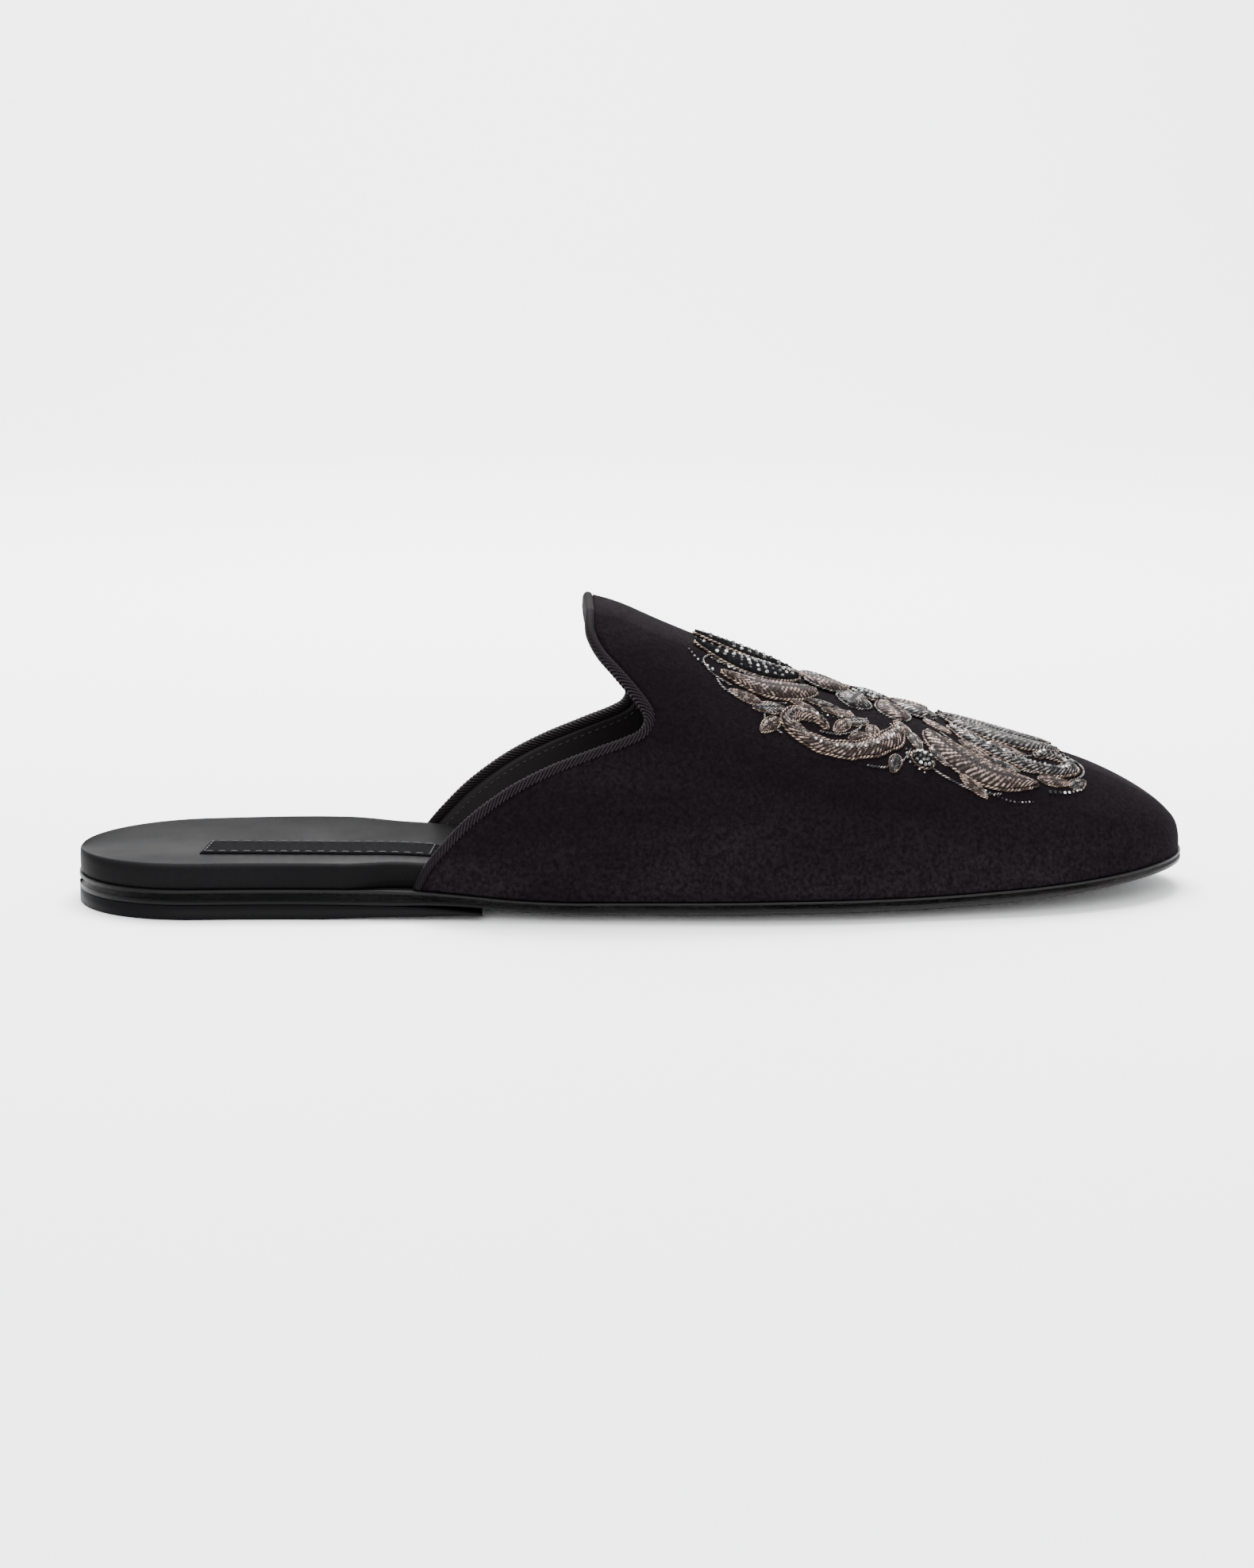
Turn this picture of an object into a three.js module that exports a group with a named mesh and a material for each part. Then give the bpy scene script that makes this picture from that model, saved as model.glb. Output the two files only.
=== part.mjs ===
// A backless velvet slipper, right foot: leather sole with a low heel, padded insole,
// high vamp with a swooping topline, ribbed binding and raised embroidery.
// Millimetres. +X is the toe, +Z is up and -Y is the outer (lateral) side.
import * as THREE from 'three';
import { mergeVertices } from 'three/addons/utils/BufferGeometryUtils.js';

// Overall sizes
const LENGTH = 290;
const BALL_WIDTH = 92;
const HEEL_WIDTH = 67;
const INSTEP_HEIGHT = 79;
const TOE_SPRING = 6.2;

// Sole and heel
const SOLE_THICKNESS = 3.9;
const RIM_THICKNESS = 2.4;
const BEVEL_START = 0.72;
const HEEL_HEIGHT = 3.8;
const HEEL_TIP_THICKNESS = 0.5;
const HEEL_FRONT = 104;
const HEEL_FLAT_END = 64;
const HEEL_FEATHER = 0.7;
const RIM_LIFT = 2.0;
const RIM_LIFT_START = 0.45;
const HEEL_CAP = 32;
const HEEL_ROUNDNESS = 2.1;
const TOE_CAP = 60;
const CLEARANCE = 0.3;
const SEAT_GAP = 0.1;

// Upper
const WALL = 2.3;
const WELT = 1.3;
const TOE_WELT = 0.5;
const TOE_LIP = 3.5;
const VAMP_CAP = 34;
const BINDING_WIDTH = 2.1;
const BINDING_THICKNESS = 3.1;

// Insole and label
const INSOLE_THICKNESS = 6.1;
const INSOLE_TOE_THICKNESS = 3.2;
const INSOLE_OVERHANG = 0.3;
const INSOLE_EDGE_RADIUS = 2.4;
const INSOLE_DISH = 0.8;
const ARCH_LIFT = 1.5;
const ARCH_START = -30;
const ARCH_PEAK = 95;
const ARCH_FALL = 115;
const ARCH_END = 175;
const INSOLE_TUCK_START = 69;
const INSOLE_TUCK_END = 85;
const INSOLE_THIN_START = 87;
const INSOLE_THIN_END = 209;
const INSOLE_FIT = 0.9;
const INSOLE_TOE_GAP = 11;
const LABEL_LENGTH = 60;
const LABEL_WIDTH = 17;
const LABEL_THICKNESS = 0.6;
const LABEL_START = 32.8;
const LABEL_SIDE = -3.2;
const LABEL_TURN = -5;
const LABEL_GAP = 0.15;

// Embroidery
const PAD_GAP = 0.3;
const PAD_HEIGHT = 1.5;
const PAD_EDGE = 0.5;
const FLOWER_CENTRE = 206;
const SPRAY_REACH = 50;
const PAD_TIP = 0.4;
const PETALS = 8;

// Pads of one side, set out from the flower's centre in shares of the spray's reach: along
// is towards the toe, across is measured over the surface from the ridge. half is the
// greatest half width. The other side mirrors them.
const PETAL = { half: 0.082, start: 0.124, end: 0.372 };
const CENTRE = { half: 0.100, along: 0, across: 0 };
const BERRY = { half: 0.054, along: 0.200, across: 0.665 };
const BUD = { half: 0.090, path: [
  { along: -0.44, across: 0 },
  { along: -0.58, across: 0 },
  { along: -0.74, across: 0 },
  { along: -0.92, across: 0 },
] };
const LEAVES = [
  { name: 'leaf_toe', half: 0.096, path: [
    { along: 0.41, across: 0.080 },
    { along: 0.60, across: 0.150 },
    { along: 0.80, across: 0.160 },
    { along: 1.00, across: 0.080 },
  ] },
  { name: 'leaf_flank', half: 0.096, path: [
    { along: 0.25, across: 0.400 },
    { along: 0.36, across: 0.545 },
    { along: 0.56, across: 0.640 },
    { along: 0.80, across: 0.610 },
  ] },
  { name: 'leaf_throat', half: 0.088, path: [
    { along: -0.385, across: 0.140 },
    { along: -0.54, across: 0.235 },
    { along: -0.72, across: 0.265 },
    { along: -0.93, across: 0.205 },
  ] },
  { name: 'leaf_shoulder', half: 0.066, path: [
    { along: -0.31, across: 0.300 },
    { along: -0.46, across: 0.400 },
    { along: -0.62, across: 0.455 },
    { along: -0.81, across: 0.430 },
  ] },
];
const TENDRILS = [
  { name: 'tendril_toe', half: 0.040, path: [
    { along: 0.40, across: 0.225 },
    { along: 0.50, across: 0.345 },
    { along: 0.64, across: 0.430 },
    { along: 0.80, across: 0.465 },
    { along: 0.95, across: 0.430 },
    { along: 1.02, across: 0.340 },
    { along: 0.965, across: 0.265 },
    { along: 0.87, across: 0.285 },
    { along: 0.85, across: 0.345 },
  ] },
  { name: 'tendril_flank', half: 0.044, path: [
    { along: 0.11, across: 0.440 },
    { along: 0.04, across: 0.580 },
    { along: -0.09, across: 0.690 },
    { along: -0.25, across: 0.750 },
    { along: -0.40, across: 0.735 },
    { along: -0.48, across: 0.660 },
    { along: -0.44, across: 0.580 },
    { along: -0.335, across: 0.570 },
    { along: -0.290, across: 0.625 },
  ] },
];

// Outline of the sole from above. at: share of the length. grow: how far the width has
// grown from heel width to ball width. lateral: share of the width on the outer side.
const OUTLINE = [
  { at: 0, grow: -0.02, lateral: 0.455 },
  { at: 0.10, grow: 0, lateral: 0.448 },
  { at: 0.21, grow: 0, lateral: 0.466 },
  { at: 0.31, grow: -0.12, lateral: 0.543 },
  { at: 0.41, grow: -0.02, lateral: 0.594 },
  { at: 0.52, grow: 0.38, lateral: 0.562 },
  { at: 0.60, grow: 0.803, lateral: 0.511 },
  { at: 0.67, grow: 0.977, lateral: 0.486 },
  { at: 0.73, grow: 0.965, lateral: 0.466 },
  { at: 0.80, grow: 0.826, lateral: 0.450 },
  { at: 1, grow: 0.675, lateral: 0.429 },
];

// Underside of the outsole along its middle. heel and spring are shares of the heel
// height and of the toe spring; lift is the share by which the rims curl up and bevel
// the share by which the sheet thins to its rim.
const UNDERSIDE = [
  { at: 0, heel: 1, spring: 0, lift: 0, bevel: 0 },
  { at: 0.24, heel: 1, spring: 0, lift: 0, bevel: 0 },
  { at: 0.28, heel: 0.99, spring: 0, lift: 0, bevel: 0 },
  { at: 0.31, heel: 0.90, spring: 0, lift: 0.02, bevel: 0.35 },
  { at: 0.345, heel: 0.68, spring: 0, lift: 0.06, bevel: 0.75 },
  { at: 0.386, heel: 0.40, spring: 0, lift: 0.12, bevel: 1 },
  { at: 0.42, heel: 0.26, spring: 0, lift: 0.22, bevel: 1 },
  { at: 0.48, heel: 0.14, spring: 0, lift: 0.50, bevel: 1 },
  { at: 0.55, heel: 0.03, spring: 0, lift: 0.78, bevel: 1 },
  { at: 0.60, heel: 0, spring: 0, lift: 0.90, bevel: 1 },
  { at: 0.66, heel: 0, spring: 0, lift: 0.96, bevel: 1 },
  { at: 0.72, heel: 0, spring: 0, lift: 1, bevel: 1 },
  { at: 0.76, heel: 0, spring: 0.035, lift: 1, bevel: 1 },
  { at: 0.81, heel: 0, spring: 0.14, lift: 0.95, bevel: 1 },
  { at: 0.862, heel: 0, spring: 0.305, lift: 0.80, bevel: 1 },
  { at: 0.914, heel: 0, spring: 0.52, lift: 0.58, bevel: 1 },
  { at: 0.966, heel: 0, spring: 0.80, lift: 0.28, bevel: 1 },
  { at: 1, heel: 0, spring: 1, lift: 0, bevel: 1 },
];

// Sections of the vamp. ridge: height of the ridge as a share of the instep height.
// lean: how far the ridge lies to the inner side, as a share of the ball width.
// side and crown: how full the flank and the top of the section are (1 is an ellipse).
const VAMP = [
  { at: 0.29, ridge: 1.14, lean: 0.040, side: 0.90, crown: 0.95 },
  { at: 0.345, ridge: 1.10, lean: 0.065, side: 0.92, crown: 0.96 },
  { at: 0.40, ridge: 1.05, lean: 0.085, side: 0.95, crown: 0.97 },
  { at: 0.452, ridge: 0.998, lean: 0.092, side: 0.97, crown: 0.98 },
  { at: 0.479, ridge: 0.970, lean: 0.095, side: 0.98, crown: 0.98 },
  { at: 0.522, ridge: 0.901, lean: 0.092, side: 0.98, crown: 0.98 },
  { at: 0.61, ridge: 0.768, lean: 0.065, side: 0.96, crown: 0.97 },
  { at: 0.683, ridge: 0.668, lean: 0.045, side: 0.94, crown: 0.95 },
  { at: 0.772, ridge: 0.571, lean: 0.025, side: 0.92, crown: 0.92 },
  { at: 0.855, ridge: 0.482, lean: 0.012, side: 0.90, crown: 0.90 },
  { at: 0.93, ridge: 0.412, lean: 0.004, side: 0.90, crown: 0.88 },
  { at: 1, ridge: 0.350, lean: 0, side: 0.90, crown: 0.88 },
];

// Centreline of the binding seen from the side, from the peak down to the sole.
// at: share of the length. rise: share of the instep height. inner: how much farther
// back the inner side lies, as a share of its own named offset.
const TOPLINE = [
  { at: 0.4565, rise: 0.957, inner: 0 },
  { at: 0.4555, rise: 0.925, inner: -0.2 },
  { at: 0.4565, rise: 0.888, inner: -0.3 },
  { at: 0.4640, rise: 0.835, inner: -0.2 },
  { at: 0.4776, rise: 0.779, inner: 0.1 },
  { at: 0.4920, rise: 0.718, inner: 0.5 },
  { at: 0.5020, rise: 0.668, inner: 0.8 },
  { at: 0.5040, rise: 0.632, inner: 0.7 },
  { at: 0.4975, rise: 0.595, inner: 0.5 },
  { at: 0.4830, rise: 0.570, inner: 0.2 },
  { at: 0.4560, rise: 0.536, inner: -0.1 },
  { at: 0.4160, rise: 0.479, inner: -0.3 },
  { at: 0.3815, rise: 0.412, inner: -0.4 },
  { at: 0.3490, rise: 0.322, inner: -0.4 },
  { at: 0.3260, rise: 0.234, inner: -0.3 },
  { at: 0.3120, rise: 0.170, inner: -0.2 },
  { at: 0.3055, rise: 0.127, inner: 0 },
  { at: 0.3020, rise: 0.100, inner: 0 },
];
const INNER_BACK = 2.5;

// Smooth curve through one column of a table
function column(rows, name, at) {
  const last = rows.length - 1;
  if (at <= rows[0].at) return rows[0][name];
  if (at >= rows[last].at) return rows[last][name];
  let i = 0;
  while (rows[i + 1].at < at) i += 1;
  const slope = (k) => (rows[k + 1][name] - rows[k][name]) / (rows[k + 1].at - rows[k].at);
  const tangent = (k) => {
    if (k === 0) return slope(0);
    if (k === last) return slope(last - 1);
    const before = rows[k].at - rows[k - 1].at;
    const after = rows[k + 1].at - rows[k].at;
    return (slope(k - 1) * after + slope(k) * before) / (before + after);
  };
  const step = rows[i + 1].at - rows[i].at;
  const s = (at - rows[i].at) / step;
  const flat = (1 + 2 * s) * (1 - s) ** 2;
  const ends = flat * rows[i][name] + (1 - flat) * rows[i + 1][name];
  return ends + s * (1 - s) * step * ((1 - s) * tangent(i) - s * tangent(i + 1));
}

function blend(from, to, x) {
  const s = THREE.MathUtils.clamp((x - from) / (to - from), 0, 1);
  return s * s * (3 - 2 * s);
}

// Round ends of the outline: 1 along the middle, falling to 0 at heel and toe
function roundEnds(x, heelInset, toeInset) {
  const heel = THREE.MathUtils.clamp((HEEL_CAP - x) / (HEEL_CAP - heelInset), 0, 1);
  const toe = THREE.MathUtils.clamp((x - LENGTH + TOE_CAP) / (TOE_CAP - toeInset), 0, 1);
  return Math.sqrt(1 - heel ** HEEL_ROUNDNESS) * Math.sqrt(1 - toe ** 2);
}

// Outline of the sole, drawn in by an inset. side is -1 outer, +1 inner.
function middle(x) {
  const width = HEEL_WIDTH + (BALL_WIDTH - HEEL_WIDTH) * column(OUTLINE, 'grow', x / LENGTH);
  return width * (0.5 - column(OUTLINE, 'lateral', x / LENGTH));
}

function halfWidth(x, inset = 0, heelInset = inset, toeInset = inset) {
  const width = HEEL_WIDTH + (BALL_WIDTH - HEEL_WIDTH) * column(OUTLINE, 'grow', x / LENGTH);
  return (width / 2 - inset) * roundEnds(x, heelInset, toeInset);
}

// Height of the outsole's underside and top at a place on the sole
function underside(x, y) {
  const at = x / LENGTH;
  const rise = HEEL_HEIGHT * column(UNDERSIDE, 'heel', at) + TOE_SPRING * column(UNDERSIDE, 'spring', at);
  const base = Math.max(rise, 0);
  const across = Math.min(Math.abs(y - middle(x)) / Math.max(halfWidth(x), 1), 1);
  const curl = Math.max(0, (across - RIM_LIFT_START) / (1 - RIM_LIFT_START)) ** 2;
  return base + RIM_LIFT * column(UNDERSIDE, 'lift', at) * curl;
}

function soleTop(x, y) {
  return underside(x, y) + SOLE_THICKNESS;
}

// Height of the outsole's lower face: the sheet is bevelled from below towards its rim,
// by the square of how far a place lies from the bevel's start to the outline
function soleBottom(x, y) {
  const at = x / LENGTH;
  const toe = Math.max(0, (x - LENGTH + TOE_CAP) / TOE_CAP);
  const fullHalf = (HEEL_WIDTH + (BALL_WIDTH - HEEL_WIDTH) * column(OUTLINE, 'grow', at)) / 2;
  const near = Math.min(Math.hypot((y - middle(x)) / fullHalf, toe), 1);
  const share = Math.max(0, (near - BEVEL_START) / (1 - BEVEL_START)) ** 2;
  return underside(x, y) + (SOLE_THICKNESS - RIM_THICKNESS) * column(UNDERSIDE, 'bevel', at) * share;
}

// Stations along a length, closer together where the ends round off
function stations(from, to, count) {
  const rows = [];
  for (let i = 0; i <= count; i += 1) {
    rows.push(from + (to - from) * (1 - Math.cos(Math.PI * i / count)) / 2);
  }
  return rows;
}

// A closed body from loops of points, one loop per station. An end whose loop is not
// drawn together into a line is closed by a flat strip between its two halves.
function bodyFromLoops(loops, closeStart, closeEnd) {
  const points = [];
  const faces = [];
  const count = loops[0].length;
  loops.forEach((loop) => loop.forEach((p) => points.push(p.x, p.y, p.z)));
  const corner = (i, j) => i * count + (j % count);
  for (let i = 0; i + 1 < loops.length; i += 1) {
    for (let j = 0; j < count; j += 1) {
      faces.push(corner(i, j), corner(i, j + 1), corner(i + 1, j + 1));
      faces.push(corner(i, j), corner(i + 1, j + 1), corner(i + 1, j));
    }
  }
  const strip = (i, turned) => {
    for (let j = 0; j + 1 < count / 2; j += 1) {
      const quad = [corner(i, j), corner(i, j + 1), corner(i, count - 2 - j), corner(i, count - 1 - j)];
      if (turned) quad.reverse();
      faces.push(quad[0], quad[2], quad[1]);
      faces.push(quad[0], quad[3], quad[2]);
    }
  };
  if (closeStart) strip(0, false);
  if (closeEnd) strip(loops.length - 1, true);
  return cleanGeometry(points, faces);
}

const WELD = 0.002;

// Merge points that coincide, drop collapsed faces and turn the faces outward
function cleanGeometry(points, faces) {
  let geometry = new THREE.BufferGeometry();
  geometry.setAttribute('position', new THREE.Float32BufferAttribute(points, 3));
  geometry.setIndex(faces);
  geometry = mergeVertices(geometry, WELD);
  const index = geometry.index.array;
  const kept = [];
  for (let i = 0; i < index.length; i += 3) {
    const [a, b, c] = [index[i], index[i + 1], index[i + 2]];
    if (a !== b && b !== c && a !== c) kept.push([a, b, c]);
  }
  const corner = (k) => new THREE.Vector3().fromBufferAttribute(geometry.attributes.position, k);
  const volume = kept.reduce((sum, [a, b, c]) => sum + corner(a).dot(corner(b).cross(corner(c))), 0);
  geometry.setIndex(kept.flatMap((face) => (volume < 0 ? face.reverse() : face)));
  geometry.computeVertexNormals();
  return geometry;
}

function evenSteps(count) {
  return Array.from({ length: count + 1 }, (_, k) => k / count);
}

// Outsole: flat across the middle, its rims curled up and bevelled.
// Places across its lower face are closer together over the bevel.
const UNDER_STEPS = [-1, -0.86, -0.68, -0.4, 0.4, 0.68, 0.86, 1];

function outsoleLoop(x) {
  const half = halfWidth(x);
  const centre = middle(x);
  const across = evenSteps(6).map((k) => 2 * k - 1);
  const top = across.map((c) => new THREE.Vector3(x, centre + c * half, soleTop(x, centre + c * half)));
  const under = UNDER_STEPS.map((c) => new THREE.Vector3(x, centre + c * half, soleBottom(x, centre + c * half)));
  return [...top, ...under.reverse()];
}

function makeOutsole() {
  return bodyFromLoops(stations(0, LENGTH, 40).map(outsoleLoop), false, false);
}

// Heel piece: flat on the floor, its front feathered up against the underside
function heelBottom(x) {
  const front = underside(HEEL_FRONT, middle(HEEL_FRONT)) - SEAT_GAP - HEEL_TIP_THICKNESS;
  const s = THREE.MathUtils.clamp((x - HEEL_FLAT_END) / (HEEL_FRONT - HEEL_FLAT_END), 0, 1);
  return front * s ** HEEL_FEATHER;
}

function heelLoop(x) {
  const half = halfWidth(x);
  const centre = middle(x);
  const across = evenSteps(4).map((k) => 2 * k - 1);
  const place = (c, z) => new THREE.Vector3(x, centre + c * half, z);
  const top = across.map((c) => place(c, underside(x, centre + c * half * 0.5) - SEAT_GAP));
  const under = across.map((c) => place(c, heelBottom(x)));
  return [...top, ...under.reverse()];
}

function makeHeel() {
  const back = stations(0, HEEL_CAP, 16).filter((x, k) => k <= 11);
  const front = evenSteps(14).map((k) => HEEL_CAP + (HEEL_FRONT - HEEL_CAP) * k);
  return bodyFromLoops([...back, ...front].map(heelLoop), false, true);
}

// Insole: a padded board, its upper rim rounded, tucked inside the upper from the waist on
function insoleInset(x) {
  const tucked = WELT + WALL + INSOLE_FIT;
  return INSOLE_OVERHANG + (tucked - INSOLE_OVERHANG) * blend(INSOLE_TUCK_START, INSOLE_TUCK_END, x);
}

function insoleThickness(x) {
  return INSOLE_THICKNESS + (INSOLE_TOE_THICKNESS - INSOLE_THICKNESS) * blend(INSOLE_THIN_START, INSOLE_THIN_END, x);
}

function insoleHalf(x) {
  return halfWidth(x, insoleInset(x), INSOLE_OVERHANG, INSOLE_TOE_GAP);
}

// Top of the insole: dished across, its inner side raised under the arch of the foot
function insoleTop(x, y) {
  const across = THREE.MathUtils.clamp((y - middle(x)) / Math.max(insoleHalf(x), 1), -1, 1);
  const arch = ARCH_LIFT * blend(ARCH_START, ARCH_PEAK, x) * (1 - blend(ARCH_FALL, ARCH_END, x));
  const shape = arch * Math.max(across, 0) ** 2 - INSOLE_DISH * (1 - across ** 2);
  return soleTop(x, y) + CLEARANCE + insoleThickness(x) + shape;
}

function insoleLoop(x) {
  const half = insoleHalf(x);
  const centre = middle(x);
  const radius = Math.min(INSOLE_EDGE_RADIUS, half * 0.9);
  const loop = [];
  const flat = half - radius;
  for (const k of evenSteps(6)) {
    const y = centre + (2 * k - 1) * flat;
    loop.push(new THREE.Vector3(x, y, insoleTop(x, y)));
  }
  const rim = (side) => evenSteps(3).slice(1).map((k) => {
    const turn = k * Math.PI / 2;
    const y = centre + side * (flat + radius * Math.sin(turn));
    const drop = Math.min(INSOLE_EDGE_RADIUS, insoleThickness(x) * 0.7) * (1 - Math.cos(turn));
    return new THREE.Vector3(x, y, insoleTop(x, y) - drop);
  });
  loop.push(...rim(1));
  for (const k of evenSteps(6)) {
    const y = centre + (1 - 2 * k) * half;
    loop.push(new THREE.Vector3(x, y, soleTop(x, y) + CLEARANCE));
  }
  loop.push(...rim(-1).reverse());
  return loop;
}

function makeInsole() {
  const rows = stations(INSOLE_OVERHANG, LENGTH - INSOLE_TOE_GAP, 40);
  return bodyFromLoops(rows.map(insoleLoop), false, false);
}

// Upper: points of the outer surface. turn is 0 at the sole and a right angle on the ridge.
const UPPER_END = LENGTH - TOE_WELT;

function ridgeHeight(x) {
  const height = INSTEP_HEIGHT * column(VAMP, 'ridge', x / LENGTH);
  const tip = soleTop(UPPER_END, middle(UPPER_END)) + CLEARANCE + TOE_LIP;
  const s = THREE.MathUtils.clamp((x - UPPER_END + VAMP_CAP) / VAMP_CAP, 0, 1);
  return tip + (height - tip) * Math.sqrt(1 - s * s);
}

function upperPoint(x, turn, side) {
  const at = x / LENGTH;
  const ridgeY = middle(x) + BALL_WIDTH * column(VAMP, 'lean', at);
  const baseY = middle(x) + side * halfWidth(x, WELT, WELT, TOE_WELT);
  const baseZ = soleTop(x, baseY) + CLEARANCE;
  const y = ridgeY + (baseY - ridgeY) * Math.cos(turn) ** column(VAMP, 'side', at);
  const z = baseZ + (ridgeHeight(x) - baseZ) * Math.sin(turn) ** column(VAMP, 'crown', at);
  return new THREE.Vector3(x, y, z);
}

function turnAtHeight(x, z, side) {
  const base = upperPoint(x, 0, side).z;
  const share = THREE.MathUtils.clamp((z - base) / (ridgeHeight(x) - base), 0, 1);
  return Math.asin(Math.min(share ** (1 / column(VAMP, 'crown', x / LENGTH)), 1));
}

function upperNormal(x, turn, side) {
  const step = 0.25;
  const along = upperPoint(x + step, turn, side).sub(upperPoint(x - step, turn, side));
  const low = Math.max(turn - 0.01, 0.001);
  const high = Math.min(turn + 0.01, Math.PI / 2 - 0.001);
  const around = upperPoint(x, high, side).sub(upperPoint(x, low, side));
  return around.cross(along).multiplyScalar(side).normalize();
}

// Binding centreline on the outer surface. k runs from 0 at the peak to 1 at the sole.
const TOPLINE_ROWS = TOPLINE.map((row, k) => ({ at: k / (TOPLINE.length - 1), row }));

function toplinePlace(k, side) {
  const rows = TOPLINE_ROWS.map(({ at, row }) => ({ at, x: row.at, z: row.rise, inner: row.inner }));
  const inner = side > 0 ? column(rows, 'inner', k) : 0;
  const x = LENGTH * column(rows, 'x', k) - INNER_BACK * inner;
  const z = INSTEP_HEIGHT * column(rows, 'z', k);
  const turn = k === 0 ? Math.PI / 2 : turnAtHeight(x, z, side);
  return { x, turn };
}

function toplinePoint(k, side) {
  const { x, turn } = toplinePlace(k, side);
  return upperPoint(x, turn, side);
}

// Frame on the topline: out of the surface, and in the surface away from the vamp
function toplineFrame(k, side) {
  const { x, turn } = toplinePlace(k, side);
  const ahead = k + 0.01 > 1 ? toplinePoint(1, side) : toplinePoint(k + 0.01, side);
  const behind = k < 0.01 ? toplinePoint(0.01 - k, -side) : toplinePoint(k - 0.01, side);
  const tangent = ahead.sub(behind).normalize();
  const out = upperNormal(x, Math.min(turn, Math.PI / 2 - 0.01), side);
  if (k === 0) out.y = 0;
  out.sub(tangent.clone().multiplyScalar(out.dot(tangent))).normalize();
  const back = tangent.clone().cross(out).multiplyScalar(-side).normalize();
  return { point: upperPoint(x, turn, side), tangent, out, back };
}

// Cut edge of the velvet: the binding's centreline moved in by half the binding
function cutEdge(side) {
  const shift = BINDING_WIDTH / 2 + CLEARANCE;
  return evenSteps(96).map((k) => {
    const { point, back } = toplineFrame(k, side);
    const moved = point.clone().add(back.clone().multiplyScalar(-shift));
    return { at: turnAtHeight(moved.x, moved.z, side), x: moved.x };
  }).sort((a, b) => a.at - b.at);
}

const EDGE_OUTER = cutEdge(-1);
const EDGE_INNER = cutEdge(1);

function lookUp(rows, at) {
  let i = 0;
  while (i < rows.length - 2 && rows[i + 1].at < at) i += 1;
  const gap = Math.max(rows[i + 1].at - rows[i].at, 1e-6);
  const s = THREE.MathUtils.clamp((at - rows[i].at) / gap, 0, 1);
  return rows[i].x + (rows[i + 1].x - rows[i].x) * s;
}

// Turns at which the lengthwise lines of the surface run, spread evenly along the topline
function lengthwiseTurns(count) {
  const turns = [0];
  for (let i = 1; i < count; i += 1) {
    const row = EDGE_OUTER[Math.round(i * (EDGE_OUTER.length - 1) / count)];
    turns.push(Math.max(row.at, turns[i - 1] + 0.012));
  }
  turns.push(Math.PI / 2);
  return turns;
}

function upperGrid(alongCount, turns) {
  const lines = [...turns.map((turn) => ({ turn, side: -1 })),
    ...turns.slice(0, -1).reverse().map((turn) => ({ turn, side: 1 }))];
  return evenSteps(alongCount).map((k) => lines.map(({ turn, side }) => {
    const start = lookUp(side < 0 ? EDGE_OUTER : EDGE_INNER, turn);
    const x = start + (UPPER_END - start) * Math.sin(k * Math.PI / 2);
    return upperPoint(Math.min(x, UPPER_END), turn, side);
  }));
}

// Inner face: the outer one moved in by the wall, with its foot on the sole
function innerGrid(grid) {
  const last = grid.length - 1;
  const end = grid[0].length - 1;
  return grid.map((row, i) => row.map((point, j) => {
    const along = grid[Math.min(i + 1, last)][j].clone().sub(grid[Math.max(i - 1, 0)][j]);
    const around = row[Math.min(j + 1, end)].clone().sub(row[Math.max(j - 1, 0)]);
    const out = around.cross(along).negate().normalize();
    if (j === 0 || j === end) out.setZ(0).normalize();
    if (i === last) out.set(1, 0, 0);
    const inner = point.clone().add(out.multiplyScalar(-WALL));
    if (j === 0 || j === end) inner.z = soleTop(inner.x, inner.y) + CLEARANCE;
    return inner;
  }));
}

function makeUpper() {
  const outer = upperGrid(24, lengthwiseTurns(20));
  const inner = innerGrid(outer);
  const loops = outer.map((row, i) => [...row, ...inner[i].slice().reverse()]);
  return bodyFromLoops(loops, true, false);
}

// Topline binding: an oval strip in line with the wall, standing on the sole at both ends
function makeBinding() {
  const steps = evenSteps(29);
  const path = [...steps.slice().reverse().map((k) => [k, -1]), ...steps.slice(1).map((k) => [k, 1])];
  const loops = path.map(([k, side]) => {
    const { point, out, back } = toplineFrame(k, side);
    const centre = point.clone().add(out.clone().multiplyScalar(-WALL / 2));
    return evenSteps(8).slice(1).map((s) => {
      const turn = s * 2 * Math.PI;
      const p = centre.clone();
      p.add(back.clone().multiplyScalar(Math.cos(turn) * BINDING_WIDTH / 2));
      p.add(out.clone().multiplyScalar(Math.sin(turn) * BINDING_THICKNESS / 2));
      p.z = Math.max(p.z, soleTop(p.x, p.y) + CLEARANCE);
      return p;
    });
  });
  return bodyFromLoops(loops, true, true);
}

// A place on the vamp, measured over the surface from the ridge, raised by a lift
function vampPoint(along, across, lift) {
  const x = FLOWER_CENTRE + along;
  const side = across < -1e-6 ? -1 : 1;
  const steps = 60;
  let turn = Math.PI / 2;
  let left = Math.abs(across);
  let point = upperPoint(x, turn, side);
  for (let i = 0; i < steps && left > 1e-9; i += 1) {
    const next = upperPoint(x, turn - Math.PI / 2 / steps, side);
    const gone = next.distanceTo(point);
    const share = Math.min(left / gone, 1);
    turn -= share * Math.PI / 2 / steps;
    point = upperPoint(x, turn, side);
    left -= gone;
  }
  const out = upperNormal(x, turn, side);
  if (Math.abs(across) < 1e-6) out.setY(0).normalize();
  return point.add(out.multiplyScalar(lift));
}

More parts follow.
